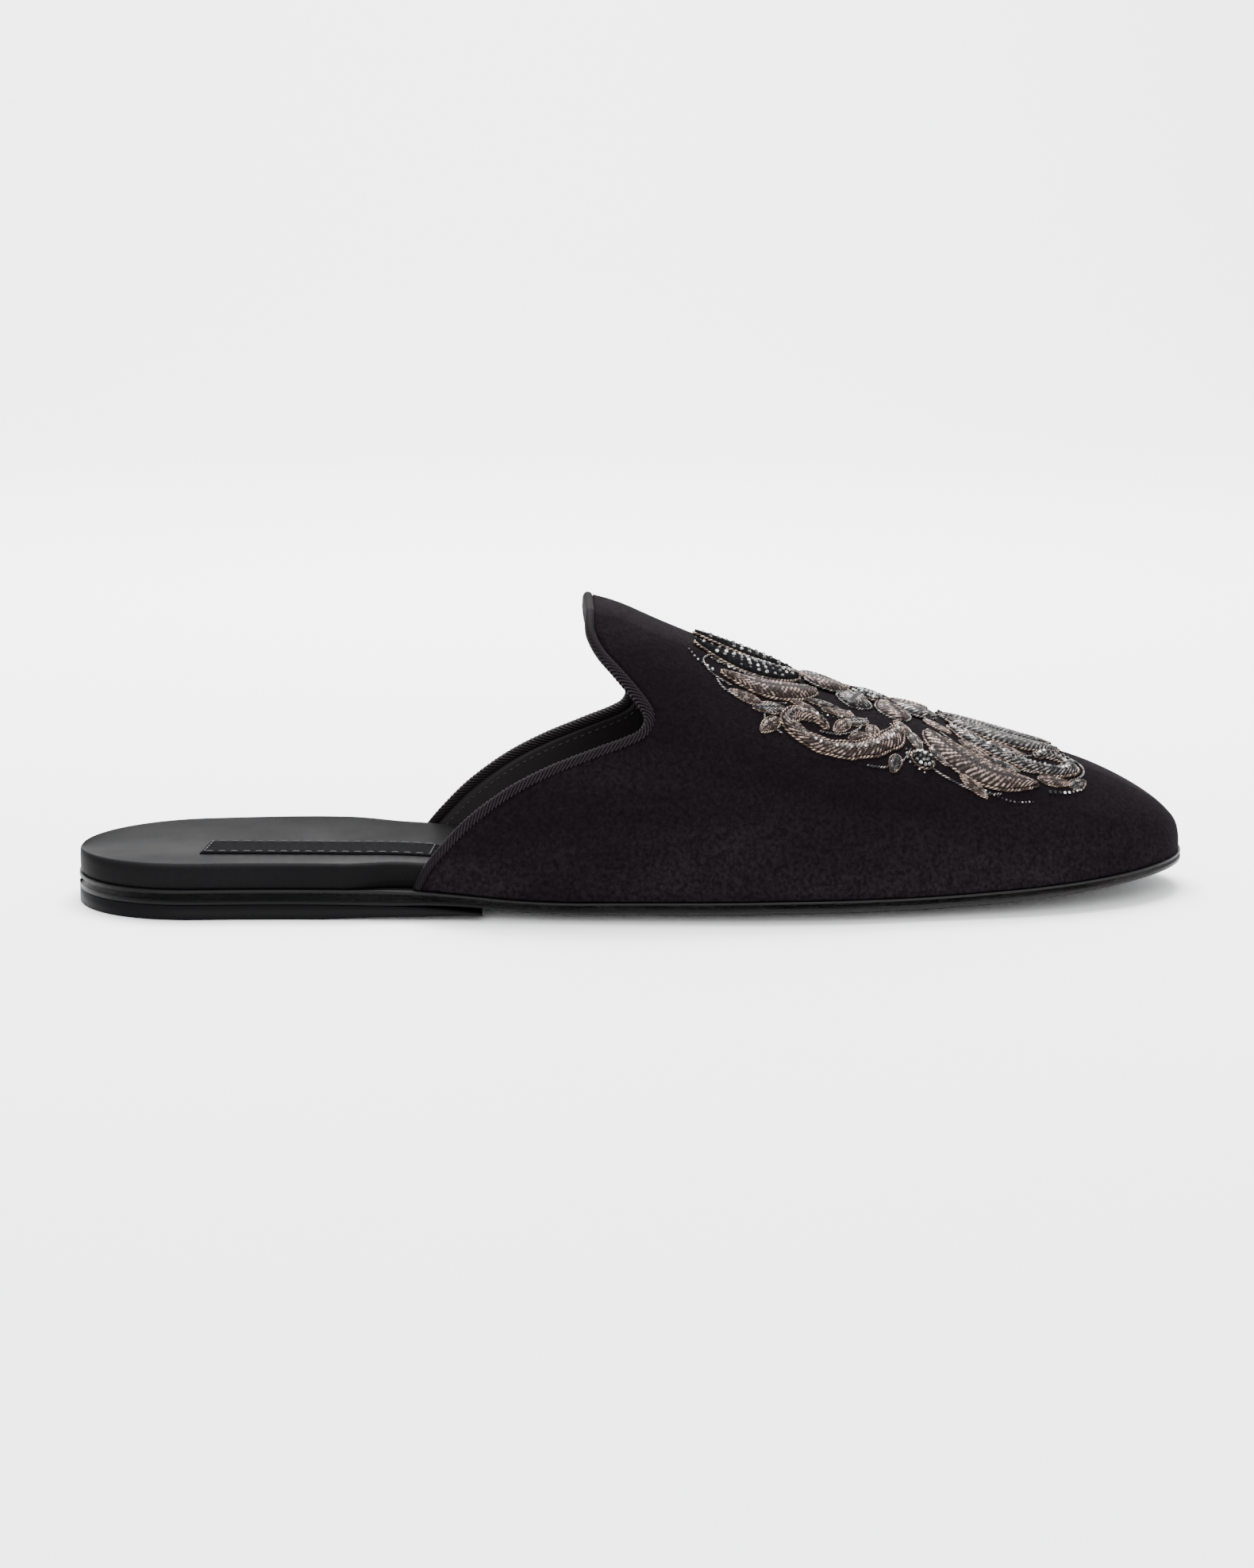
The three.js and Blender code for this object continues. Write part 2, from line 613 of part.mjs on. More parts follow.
// A padded strip of embroidery along a path, its width following a profile of 0 to 1
function makePad(path, half, side, profile, steps) {
  const places = path.map(({ along, across }) => new THREE.Vector2(along, across * side));
  const curve = new THREE.SplineCurve(places.map((place) => place.multiplyScalar(SPRAY_REACH)));
  const loops = evenSteps(steps).map((k) => {
    const centre = curve.getPointAt(k);
    const tangent = curve.getTangentAt(k);
    const width = half * SPRAY_REACH * profile(k);
    const crown = (PAD_HEIGHT - PAD_EDGE) * (PAD_TIP + (1 - PAD_TIP) * profile(k));
    const place = (c, lift) => vampPoint(centre.x - c * width * tangent.y, centre.y + c * width * tangent.x, lift);
    const top = [-1, -0.5, 0, 0.5, 1].map((c) => place(c, PAD_GAP + PAD_EDGE + crown * (1 - c * c)));
    const under = [1, 0, -1].map((c) => place(c, PAD_GAP));
    return [...top, ...under];
  });
  return bodyFromLoops(loops, false, false);
}

const leafProfile = (k) => Math.sin(Math.PI * k ** 0.8) ** 0.8;
const petalProfile = (k) => Math.sin(Math.PI * k ** 1.3) ** 0.7;
const tendrilProfile = (k) => Math.min(1, 3.2 * Math.sqrt(k * (1 - k))) * (1.15 - 0.45 * k);
const roundProfile = (k) => 2 * Math.sqrt(k * (1 - k));

function makeBead({ half, along, across }, side) {
  const path = [-half, 0, half].map((step) => ({ along: along + step, across }));
  return makePad(path, half, side, roundProfile, 6);
}

function makePetal(index) {
  const turn = (index + 0.5) * 2 * Math.PI / PETALS;
  const place = (radius) => ({ along: radius * Math.cos(turn), across: radius * Math.sin(turn) });
  const path = [PETAL.start, (PETAL.start + PETAL.end) / 2, PETAL.end].map(place);
  return makePad(path, PETAL.half, 1, petalProfile, 6);
}

// Label on the insole, laid along the heel's own axis
function makeLabel() {
  const turn = LABEL_TURN * Math.PI / 180;
  const loops = evenSteps(8).map((k) => {
    const place = (c, lift) => {
      const along = k * LABEL_LENGTH;
      const across = c * LABEL_WIDTH / 2;
      const x = LABEL_START + along * Math.cos(turn) - across * Math.sin(turn);
      const y = LABEL_SIDE + along * Math.sin(turn) + across * Math.cos(turn);
      return new THREE.Vector3(x, y, insoleTop(x, y) + lift);
    };
    const across = [-1, -0.5, 0, 0.5, 1];
    const top = across.map((c) => place(c, LABEL_GAP + LABEL_THICKNESS));
    return [...top, ...across.map((c) => place(-c, LABEL_GAP))];
  });
  return bodyFromLoops(loops, true, true);
}

function mesh(name, geometry, color, roughness, metalness = 0) {
  const material = new THREE.MeshStandardMaterial({ color, roughness, metalness });
  const piece = new THREE.Mesh(geometry, material);
  piece.name = name;
  return piece;
}

const shoe = new THREE.Group();
shoe.add(mesh('outsole', makeOutsole(), 0x2a2725, 0.6));
shoe.add(mesh('heel', makeHeel(), 0x1c1b1b, 0.7));
shoe.add(mesh('insole', makeInsole(), 0x4b4947, 0.5));
shoe.add(mesh('upper', makeUpper(), 0x141216, 0.95));
shoe.add(mesh('topline_binding', makeBinding(), 0x2b2a2c, 0.8));
shoe.add(mesh('insole_label', makeLabel(), 0x1a1a1b, 0.7));

const SILVER = 0x9d9a96;
const ROSE = 0x8c7a73;
const addPad = (name, geometry, color) => shoe.add(mesh(name, geometry, color, 0.5, 0.4));
addPad('flower_centre', makeBead(CENTRE, 1), SILVER);
for (let i = 0; i < PETALS; i += 1) addPad(`petal_${i + 1}`, makePetal(i), ROSE);
addPad('bud', makePad(BUD.path, BUD.half, 1, leafProfile, 8), ROSE);
for (const [suffix, side] of [['outer', -1], ['inner', 1]]) {
  for (const leaf of LEAVES) {
    addPad(`${leaf.name}_${suffix}`, makePad(leaf.path, leaf.half, side, leafProfile, 9), ROSE);
  }
  for (const curl of TENDRILS) {
    addPad(`${curl.name}_${suffix}`, makePad(curl.path, curl.half, side, tendrilProfile, 18), SILVER);
  }
  addPad(`berry_flank_${suffix}`, makeBead(BERRY, side), SILVER);
}

// The middle of the sole's outline, seen from above, is the origin
const outlineStations = stations(0, LENGTH, 200);
const outerEdge = Math.min(...outlineStations.map((x) => middle(x) - halfWidth(x)));
const innerEdge = Math.max(...outlineStations.map((x) => middle(x) + halfWidth(x)));
shoe.position.set(-LENGTH / 2, -(outerEdge + innerEdge) / 2, 0);

const group = new THREE.Group();
group.add(shoe);
export default group;
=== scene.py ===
"""Backless velvet slipper for the right foot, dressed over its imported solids.

Lengths are in metres. +X is the toe, +Z is up and -Y is the outer side.
"""
import bpy
import bmesh
import numpy as np
from mathutils import Matrix


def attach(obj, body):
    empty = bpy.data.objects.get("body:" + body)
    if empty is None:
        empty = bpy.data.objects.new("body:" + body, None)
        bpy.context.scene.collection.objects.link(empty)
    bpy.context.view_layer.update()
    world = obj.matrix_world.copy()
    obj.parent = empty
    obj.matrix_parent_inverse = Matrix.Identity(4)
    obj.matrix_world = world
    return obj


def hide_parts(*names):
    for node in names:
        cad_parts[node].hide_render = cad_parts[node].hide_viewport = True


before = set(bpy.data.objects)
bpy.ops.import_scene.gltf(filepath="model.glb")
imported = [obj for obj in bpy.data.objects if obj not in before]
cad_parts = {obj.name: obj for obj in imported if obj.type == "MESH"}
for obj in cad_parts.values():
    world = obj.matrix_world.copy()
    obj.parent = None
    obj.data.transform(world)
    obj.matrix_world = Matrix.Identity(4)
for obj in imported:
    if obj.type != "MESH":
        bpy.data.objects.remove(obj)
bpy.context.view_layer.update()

# Outsole
# A single sheet of sole leather, cut to the last's outline and bevelled from below
# towards its rim, its edge inked black and burnished. It carries the whole shoe.
LENGTH = 0.290
BALL_WIDTH = 0.092
HEEL_WIDTH = 0.067
TOE_SPRING = 0.0062
SOLE_THICKNESS = 0.0039
RIM_THICKNESS = 0.0024
BEVEL_START = 0.72
HEEL_HEIGHT = 0.0038
RIM_LIFT = 0.0020
RIM_LIFT_START = 0.45
HEEL_CAP = 0.032
TOE_CAP = 0.060
SOLE_EDGE_ROUND = 0.0005
CLEARANCE = 0.0003
MERGED = 2e-7
SOLE_INK = (0.0024, 0.0024, 0.0026, 1)
# Painted highlight: a lighter colour in cloudy patches, coming in along X from the waist to the toe
SOLE_PAINTED_HIGHLIGHT = (0.0105, 0.0102, 0.0102, 1)
SOLE_HIGHLIGHT_SPAN = (-0.06, 0.10)

# at: share of the length. grow: how far the width has grown from heel to ball.
# lateral: share of the width on the outer side.
OUTLINE = np.rec.fromrecords([
    (0, -0.02, 0.455),
    (0.10, 0, 0.448),
    (0.21, 0, 0.466),
    (0.31, -0.12, 0.543),
    (0.41, -0.02, 0.594),
    (0.52, 0.38, 0.562),
    (0.60, 0.803, 0.511),
    (0.67, 0.977, 0.486),
    (0.73, 0.965, 0.466),
    (0.80, 0.826, 0.450),
    (1, 0.675, 0.429),
], names="at,grow,lateral")

# heel and spring: shares of the heel height and toe spring. lift: how far rims curl up.
# bevel: how far the sheet thins to its rim.
UNDERSIDE = np.rec.fromrecords([
    (0, 1, 0, 0, 0),
    (0.24, 1, 0, 0, 0),
    (0.28, 0.99, 0, 0, 0),
    (0.31, 0.90, 0, 0.02, 0.35),
    (0.345, 0.68, 0, 0.06, 0.75),
    (0.386, 0.40, 0, 0.12, 1),
    (0.42, 0.26, 0, 0.22, 1),
    (0.48, 0.14, 0, 0.50, 1),
    (0.55, 0.03, 0, 0.78, 1),
    (0.60, 0, 0, 0.90, 1),
    (0.66, 0, 0, 0.96, 1),
    (0.72, 0, 0, 1, 1),
    (0.76, 0, 0.035, 1, 1),
    (0.81, 0, 0.14, 0.95, 1),
    (0.862, 0, 0.305, 0.80, 1),
    (0.914, 0, 0.52, 0.58, 1),
    (0.966, 0, 0.80, 0.28, 1),
    (1, 0, 1, 0, 1),
], names="at,heel,spring,lift,bevel")


def through(at, places, values):
    """Cubic through the values at the places, each slope a mean of its two sides'."""
    places = np.asarray(places, float)
    values = np.asarray(values, float)
    step = np.diff(places)
    slope = np.diff(values) / step
    inner = (slope[:-1] * step[1:] + slope[1:] * step[:-1]) / (step[1:] + step[:-1])
    tangent = np.concatenate([slope[:1], inner, slope[-1:]])
    at = np.clip(at, places[0], places[-1])
    i = np.clip(np.searchsorted(places, at, side="right") - 1, 0, len(places) - 2)
    s = (at - places[i]) / step[i]
    start = (1 + 2 * s) * (1 - s) ** 2
    bend = s * (1 - s) * step[i] * ((1 - s) * tangent[i] - s * tangent[i + 1])
    return start * values[i] + (1 - start) * values[i + 1] + bend


def ease(start, end, x):
    """0 before start, 1 after end, and an S-curve between."""
    s = np.clip((x - start) / (end - start), 0, 1)
    return s * s * (3 - 2 * s)


def round_ends(x, heel_inset, toe_inset):
    """1 along the middle, falling to 0 on a rounded heel and an elliptic toe."""
    heel = np.clip((HEEL_CAP - x) / (HEEL_CAP - heel_inset), 0, 1)
    toe = np.clip((x - LENGTH + TOE_CAP) / (TOE_CAP - toe_inset), 0, 1)
    return np.sqrt(1 - heel ** 2.1) * np.sqrt(1 - toe ** 2)


def full_width(x):
    """Heel width grown towards ball width by the outline's table."""
    return HEEL_WIDTH + (BALL_WIDTH - HEEL_WIDTH) * through(x / LENGTH, OUTLINE.at, OUTLINE.grow)


def middle(x):
    """Half way between the two edges of the outline."""
    return full_width(x) * (0.5 - through(x / LENGTH, OUTLINE.at, OUTLINE.lateral))


def half_width(x, inset=0.0, heel_inset=0.0, toe_inset=0.0):
    """Half the outline's width, drawn in by an inset and closed by the round ends."""
    return (full_width(x) / 2 - inset) * round_ends(x, heel_inset, toe_inset)


def underside(x, y):
    """Height of the outsole's underside: heel seat and toe spring, plus the rims' curl."""
    at = x / LENGTH
    rise = HEEL_HEIGHT * through(at, UNDERSIDE.at, UNDERSIDE.heel)
    rise = rise + TOE_SPRING * through(at, UNDERSIDE.at, UNDERSIDE.spring)
    across = np.minimum(np.abs(y - middle(x)) / np.maximum(half_width(x), 0.001), 1)
    curl = np.maximum(0, (across - RIM_LIFT_START) / (1 - RIM_LIFT_START)) ** 2
    return np.maximum(rise, 0) + RIM_LIFT * through(at, UNDERSIDE.at, UNDERSIDE.lift) * curl


def sole_top(x, y):
    """The underside raised by the sheet's thickness."""
    return underside(x, y) + SOLE_THICKNESS


def sole_bottom(x, y):
    """The underside, raised to the bevelled rim by the square of the way to the outline."""
    toe = np.maximum((x - LENGTH + TOE_CAP) / TOE_CAP, 0)
    near = np.minimum(np.hypot((y - middle(x)) * 2 / full_width(x), toe), 1)
    share = np.maximum(0, (near - BEVEL_START) / (1 - BEVEL_START)) ** 2
    bevel = (SOLE_THICKNESS - RIM_THICKNESS) * through(x / LENGTH, UNDERSIDE.at, UNDERSIDE.bevel)
    return underside(x, y) + bevel * share


# The solids' origin is the middle of this outline, on the floor
plan = np.linspace(0, LENGTH, 2001)
SIDE_SHIFT = -((middle(plan) - half_width(plan)).min() + (middle(plan) + half_width(plan)).max()) / 2
TO_FRAME = np.array([-LENGTH / 2, SIDE_SHIFT, 0])


def spread_out(x, y, z):
    """Points of x, y and z, each repeated to the shape that all three share."""
    return np.stack(np.broadcast_arrays(x, y, z), -1)


def cosine_steps(start, end, count):
    """Places from start to end that crowd towards both ends."""
    return start + (end - start) * (1 - np.cos(np.linspace(0, np.pi, count))) / 2


def new_mesh(name, points, faces, depth=None, smooth=True):
    """Mesh of points and faces in the solids' frame, with a painted shade at each point, if given, kept as
    its depth.
    """
    mesh = bpy.data.meshes.new(name)
    mesh.from_pydata((points.reshape(-1, 3) + TO_FRAME).tolist(), [], faces)
    mesh.polygons.foreach_set("use_smooth", np.full(len(mesh.polygons), smooth))
    if depth is not None:
        kept = mesh.attributes.new("depth", "FLOAT", "POINT")
        kept.data.foreach_set("value", depth.reshape(-1).astype(np.float32))
    return mesh


def shell(name, grid, wrap=False, close=(), back=None, painted_shade=None):
    """Mesh of a grid of points: quads between neighbours, the rows joined end to end
    where they wrap. Each closed row, first 0 or last -1, gets a strip between its two
    halves. Points that coincide are merged. back is the column where material 1 starts,
    and the painted shade passed in is kept at each point as its depth.
    """
    rows, columns = grid.shape[:2]
    numbers = np.arange(rows * columns).reshape(rows, columns)
    across = np.hstack([numbers, numbers[:, :1]]) if wrap else numbers
    quads = np.stack([across[:-1, :-1], across[:-1, 1:], across[1:, 1:], across[1:, :-1]], -1)
    backs = np.broadcast_to(np.arange(quads.shape[1]) >= (columns if back is None else back), quads.shape[:2])
    faces = [quads.reshape(-1, 4)]
    kinds = [backs.reshape(-1)]
    for row in close:
        one = numbers[row, : columns // 2]
        other = numbers[row, ::-1][: columns // 2]
        strip = np.stack([one[:-1], other[:-1], other[1:], one[1:]], -1)
        faces.append(strip if row == 0 else strip[:, ::-1])
        kinds.append(np.zeros(len(strip), bool))
    mesh = new_mesh(name, grid, np.vstack(faces).tolist(), painted_shade)
    mesh.polygons.foreach_set("material_index", np.concatenate(kinds).astype(np.int32))
    work = bmesh.new()
    work.from_mesh(mesh)
    bmesh.ops.remove_doubles(work, verts=work.verts, dist=MERGED)
    bmesh.ops.dissolve_degenerate(work, edges=work.edges, dist=MERGED)
    if wrap:
        bmesh.ops.recalc_face_normals(work, faces=work.faces)
    work.to_mesh(mesh)
    work.free()
    return mesh


def place(mesh, materials, slot, *nodes):
    """Put a finished mesh into the scene on the one body, in place of its nodes."""
    for material in materials:
        mesh.materials.append(material)
    piece = bpy.data.objects.new(mesh.name, mesh)
    bpy.context.scene.collection.objects.link(piece)
    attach(piece, "root")
    if nodes:
        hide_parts(*nodes)
    return piece


def new_material(name, roughness, gloss):
    """A Principled material: gives the material, its nodes and its shader."""
    material = bpy.data.materials.new(name)
    material.use_nodes = True
    shader = material.node_tree.nodes["Principled BSDF"]
    shader.inputs["Roughness"].default_value = roughness
    shader.inputs["Specular IOR Level"].default_value = gloss
    return material, material.node_tree, shader


def node(tree, kind, **values):
    """A node of a kind, with its properties or its inputs set by name."""
    made = tree.nodes.new(kind)
    for key, value in values.items():
        if hasattr(made, key):
            setattr(made, key, value)
        else:
            made.inputs[key.replace("_", " ")].default_value = value
    return made


def coordinates(tree, scale=(1, 1, 1)):
    """The piece's own coordinates, stretched by a scale."""
    source = node(tree, "ShaderNodeTexCoord")
    mapping = node(tree, "ShaderNodeMapping", Scale=scale)
    tree.links.new(source.outputs["Object"], mapping.inputs["Vector"])
    return mapping.outputs["Vector"]


def mix(tree, share, dark, light):
    """Colour from dark to light by a share."""
    made = node(tree, "ShaderNodeMix", data_type="RGBA")
    made.inputs[6].default_value = dark
    made.inputs[7].default_value = light
    tree.links.new(share, made.inputs[0])
    return made.outputs[2]


def remap(tree, value, low, high, to_low, to_high):
    """A value carried from one range to another, held at its ends."""
    made = node(tree, "ShaderNodeMapRange", From_Min=low, From_Max=high, To_Min=to_low, To_Max=to_high)
    tree.links.new(value, made.inputs["Value"])
    return made.outputs["Result"]


def bump(tree, shader, height, strength, distance):
    """Raise the shader's surface by a height."""
    made = node(tree, "ShaderNodeBump", Strength=strength, Distance=distance)
    tree.links.new(height, made.inputs["Height"])
    tree.links.new(made.outputs["Normal"], shader.inputs["Normal"])


def noise(tree, vector, **values):
    """Noise read at a place."""
    made = node(tree, "ShaderNodeTexNoise", **values)
    tree.links.new(vector, made.inputs["Vector"])
    return made.outputs["Fac"]


def times(tree, one, other):
    """The product of two values."""
    made = node(tree, "ShaderNodeMath", operation="MULTIPLY")
    tree.links.new(one, made.inputs[0])
    tree.links.new(other, made.inputs[1])
    return made.outputs[0]


def new_group(name, inputs, outputs):
    """A shader node group with named sockets: gives its nodes, its input and its output."""
    group = bpy.data.node_groups.new(name, "ShaderNodeTree")
    for direction, sockets in (("INPUT", inputs), ("OUTPUT", outputs)):
        for label, kind in sockets.items():
            group.interface.new_socket(label, in_out=direction, socket_type="NodeSocket" + kind)
    return group, node(group, "NodeGroupInput"), node(group, "NodeGroupOutput")


def grain_group():
    """Leather grain: small cells with creases between them, broken up by fine noise.

    Puts out a height from 0 to 1 and a mask of slow, cloudy variation.
    """
    group, source, out = new_group("leather grain", {"Vector": "Vector", "Cells": "Float"},
                                   {"Height": "Float", "Cloud": "Float"})
    vector = source.outputs["Vector"]
    cells = node(group, "ShaderNodeTexVoronoi", feature="SMOOTH_F1")
    group.links.new(vector, cells.inputs["Vector"])
    group.links.new(source.outputs["Cells"], cells.inputs["Scale"])
    total = node(group, "ShaderNodeMath", operation="MULTIPLY_ADD")
    total.inputs[1].default_value = 0.35
    group.links.new(noise(group, vector, Scale=2600.0, Detail=3.0), total.inputs[0])
    group.links.new(cells.outputs["Distance"], total.inputs[2])
    group.links.new(total.outputs[0], out.inputs["Height"])
    group.links.new(noise(group, vector, Scale=38.0, Detail=3.0), out.inputs["Cloud"])
    return group


leather_grain = grain_group()


def leather(name, dark, light, roughness, cells, strength, gloss, highlight_span=None):
    """Leather whose colour and gloss drift slowly, under a fine grain.

    The last argument gives the places along X between which the light colour comes in, as a painted
    highlight.
    """
    material, tree, shader = new_material(name, roughness, gloss)
    grain = node(tree, "ShaderNodeGroup")
    grain.node_tree = leather_grain
    grain.inputs["Cells"].default_value = cells
    tree.links.new(coordinates(tree), grain.inputs["Vector"])
    share = grain.outputs["Cloud"]
    if highlight_span:
        parts = node(tree, "ShaderNodeSeparateXYZ")
        tree.links.new(coordinates(tree), parts.inputs[0])
        # Painted highlight: the light colour comes in only along the span on X
        share = times(tree, share, remap(tree, parts.outputs["X"], *highlight_span, 0.0, 1.6))
    tree.links.new(mix(tree, share, dark, light), shader.inputs["Base Color"])
    spread = remap(tree, grain.outputs["Cloud"], 0.3, 0.7, roughness - 0.05, roughness + 0.06)
    tree.links.new(spread, shader.inputs["Roughness"])
    bump(tree, shader, grain.outputs["Height"], strength, 0.0002)
    return material


def outsole_grid(stations, across):
    """Loop per station: flat top, an edge with its corners rounded, bevelled below.

    The edge is a half turn from top to bottom whose bulge is a superellipse.
    """
    x = cosine_steps(0, LENGTH, stations)[:, None]
    half = half_width(x)
    flat = half - np.minimum(SOLE_EDGE_ROUND, half * 0.5)
    spread = np.linspace(-1, 1, across)[None]
    turn = np.linspace(0.5, -0.5, 15)[None, 1:-1] * np.pi
    bulge = np.cos(turn) ** 0.35
    reach = flat + (half - flat) * bulge
    rise = (np.sin(turn) * np.abs(np.sin(turn)) ** -0.25 + 1) / 2
    parts = []
    for side in (1, -1):
        y_flat = middle(x) + spread * flat * side
        edge = middle(x) + reach * side
        level = middle(x) + half * side
        height = rise if side > 0 else rise[:, ::-1]
        base = sole_bottom(x, level)
        face = sole_top if side > 0 else sole_bottom
        edge = edge if side > 0 else edge[:, ::-1]
        parts.append(spread_out(x, y_flat, face(x, y_flat)))
        parts.append(spread_out(x, edge, base + (sole_top(x, level) - base) * height))
    return np.concatenate(parts, 1)


# The edge is painted lighter in cloudy patches from the waist to the toe: a painted highlight
outsole_edge = leather("inked sole edge", SOLE_INK, SOLE_PAINTED_HIGHLIGHT, 0.46, 900.0, 0.02, 0.09, SOLE_HIGHLIGHT_SPAN)
place(shell("sole_sheet", outsole_grid(260, 33), wrap=True), [outsole_edge], "sole_leather", "outsole")

# Heel piece
# A low rubber topped heel, glued under the seat and feathered out at the waist. Its
# back and sides are trimmed flush with the sole and inked with it.
HEEL_FRONT = 0.104
HEEL_FLAT_END = 0.064
HEEL_TIP_THICKNESS = 0.0005
SEAT_GAP = 0.0001
HEEL_EDGE_ROUND = 0.0005
HEEL_FEATHER = 0.7
RUBBER_DARK = (0.0022, 0.0022, 0.0025, 1)
RUBBER_LIGHT = (0.0034, 0.0034, 0.0037, 1)


def heel_grid(stations, across):
    """Loop per station: top against the seat, edges rounded below, flat on the floor."""
    x = np.concatenate([cosine_steps(0, HEEL_CAP * 2, stations)[: stations // 2],
                        np.linspace(HEEL_CAP, HEEL_FRONT, stations // 2)])[:, None]
    half = half_width(x)
    tip = underside(HEEL_FRONT, middle(HEEL_FRONT)) - SEAT_GAP - HEEL_TIP_THICKNESS
    share = np.clip((x - HEEL_FLAT_END) / (HEEL_FRONT - HEEL_FLAT_END), 0, 1)
    bottom = tip * share ** HEEL_FEATHER
    top = underside(x, middle(x) + half * 0.5) - SEAT_GAP
    round_off = np.minimum(HEEL_EDGE_ROUND, (top - bottom) / 2)
    spread = np.linspace(-1, 1, across)[None]
    y_top = middle(x) + spread * half
    turn = np.linspace(0, np.pi / 2, 6)[None]
    drop = bottom + round_off * (1 - np.sin(turn))
    inward = np.minimum(round_off, half * 0.5) * (1 - np.cos(turn))
    corner = middle(x) + half - inward
    other = (middle(x) - half + inward)[:, ::-1]
    y_low = (middle(x) - spread * (half - np.minimum(round_off, half * 0.5)))[:, 1:-1]
    rows = [(y_top, top), (corner, drop), (y_low, bottom), (other, drop[:, ::-1])]
    return np.concatenate([spread_out(x, y, z) for y, z in rows], 1)


heel_rubber = leather("black rubber", RUBBER_DARK, RUBBER_LIGHT, 0.46, 1500.0, 0.06, 0.04)
heel_mesh = shell("heel_block", heel_grid(160, 23), wrap=True, close=(-1,))
place(heel_mesh, [heel_rubber], "heel_rubber", "heel")

# Insole
# A soft board wrapped in smooth black leather over a thin foam, turned under all round
# and glued down. Bare at the heel, it runs on inside the upper to the toes.
INSOLE_THICKNESS = 0.0061
INSOLE_TOE_THICKNESS = 0.0032
INSOLE_OVERHANG = 0.0003
INSOLE_EDGE_RADIUS = 0.0024
INSOLE_DISH = 0.0008
ARCH_LIFT = 0.0015
ARCH_START = -0.030
ARCH_PEAK = 0.095
ARCH_FALL = 0.115
ARCH_END = 0.175
INSOLE_TUCK_START = 0.069
INSOLE_TUCK_END = 0.085
INSOLE_FIT = 0.0009
INSOLE_TOE_GAP = 0.011
INSOLE_THINS = (0.3, 0.72)
INSOLE_FOOT_PULL = 0.0007
WALL = 0.0023
WELT = 0.0013
PUCKER_PLACES = (0.058, 0.066, 0.0725, 0.079, 0.086)
PUCKER_DEPTHS = (0.00018, 0.00030, 0.00038, 0.00030, 0.00022)
PUCKER_WIDTH = 0.0022
INSOLE_DARK = (0.0032, 0.0031, 0.0034, 1)
INSOLE_LIGHT = (0.0054, 0.0053, 0.0056, 1)


def insole_half(x):
    """Half the insole's width: flush at the heel, inside the upper's wall from the waist."""
    tucked = WELT + WALL + INSOLE_FIT
    inset = INSOLE_OVERHANG + (tucked - INSOLE_OVERHANG) * ease(INSOLE_TUCK_START, INSOLE_TUCK_END, x)
    return half_width(x, inset, INSOLE_OVERHANG, INSOLE_TOE_GAP)


def insole_depth(x):
    """Thickness: full at the heel, thinner under the ball."""
    thinner = ease(INSOLE_THINS[0] * LENGTH, INSOLE_THINS[1] * LENGTH, x)
    return INSOLE_THICKNESS + (INSOLE_TOE_THICKNESS - INSOLE_THICKNESS) * thinner


def insole_top(x, y):
    """The sole's top plus the insole, dished across and raised under the arch, both squares."""
    across = np.clip((y - middle(x)) / np.maximum(insole_half(x), 0.001), -1, 1)
    arch = ARCH_LIFT * ease(ARCH_START, ARCH_PEAK, x) * (1 - ease(ARCH_FALL, ARCH_END, x))
    shape = arch * np.maximum(across, 0) ** 2 - INSOLE_DISH * (1 - across ** 2)
    return sole_top(x, y) + CLEARANCE + insole_depth(x) + shape


def puckers(x):
    """Depth of the soft puckers in the rim at the waist: a Gaussian at each place."""
    far = (x[..., None] - np.array(PUCKER_PLACES)) / PUCKER_WIDTH
    return (np.array(PUCKER_DEPTHS) * np.exp(-far ** 2)).sum(-1)


def insole_grid(stations, across):
    """Loop per station: dished top, quarter round rim, a side pulled in at its foot.

    The rim and the side draw in where the leather puckers at the waist.
    """
    x = cosine_steps(INSOLE_OVERHANG, LENGTH - INSOLE_TOE_GAP, stations)[:, None]
    half = insole_half(x)
    radius = np.minimum(INSOLE_EDGE_RADIUS, half * 0.9)
    drawn = puckers(x)
    flat = half - radius
    y_top = middle(x) + np.linspace(-1, 1, across)[None] * flat
    turn = np.linspace(0, np.pi / 2, 10)[None, 1:]
    drop = np.minimum(INSOLE_EDGE_RADIUS, insole_depth(x) * 0.7) * (1 - np.cos(turn))
    foot = np.linspace(0, 1, 8)[None, 1:]
    pull = np.minimum(INSOLE_FOOT_PULL, half * 0.2) * foot ** 3
    loops = [(y_top, insole_top(x, y_top))]
    for side in (1, -1):
        y_rim = middle(x) + side * (flat + (radius - drawn * np.sin(turn)) * np.sin(turn))
        z_rim = insole_top(x, y_rim) - drop
        y_side = middle(x) + side * (half - pull - drawn * (1 - foot))
        low = sole_top(x, y_side) + CLEARANCE * 0.2
        z_side = z_rim[:, -1:] + (low - z_rim[:, -1:]) * foot
        y = np.concatenate([y_rim, y_side], 1)
        z = np.concatenate([z_rim, z_side], 1)
        loops.append((y, z) if side > 0 else (y[:, ::-1], z[:, ::-1]))
    y_low = middle(x) + np.linspace(1, -1, across)[None, 1:-1] * (half - pull[:, -1:])
    loops.insert(2, (y_low, sole_top(x, y_low) + CLEARANCE * 0.2))
    return np.concatenate([spread_out(x, y, z) for y, z in loops], 1)


insole_leather = leather("insole leather", INSOLE_DARK, INSOLE_LIGHT, 0.49, 1900.0, 0.12, 0.0082)
insole_mesh = shell("padded_insole", insole_grid(240, 41), wrap=True)
insole = place(insole_mesh, [insole_leather], "insole_leather", "insole")

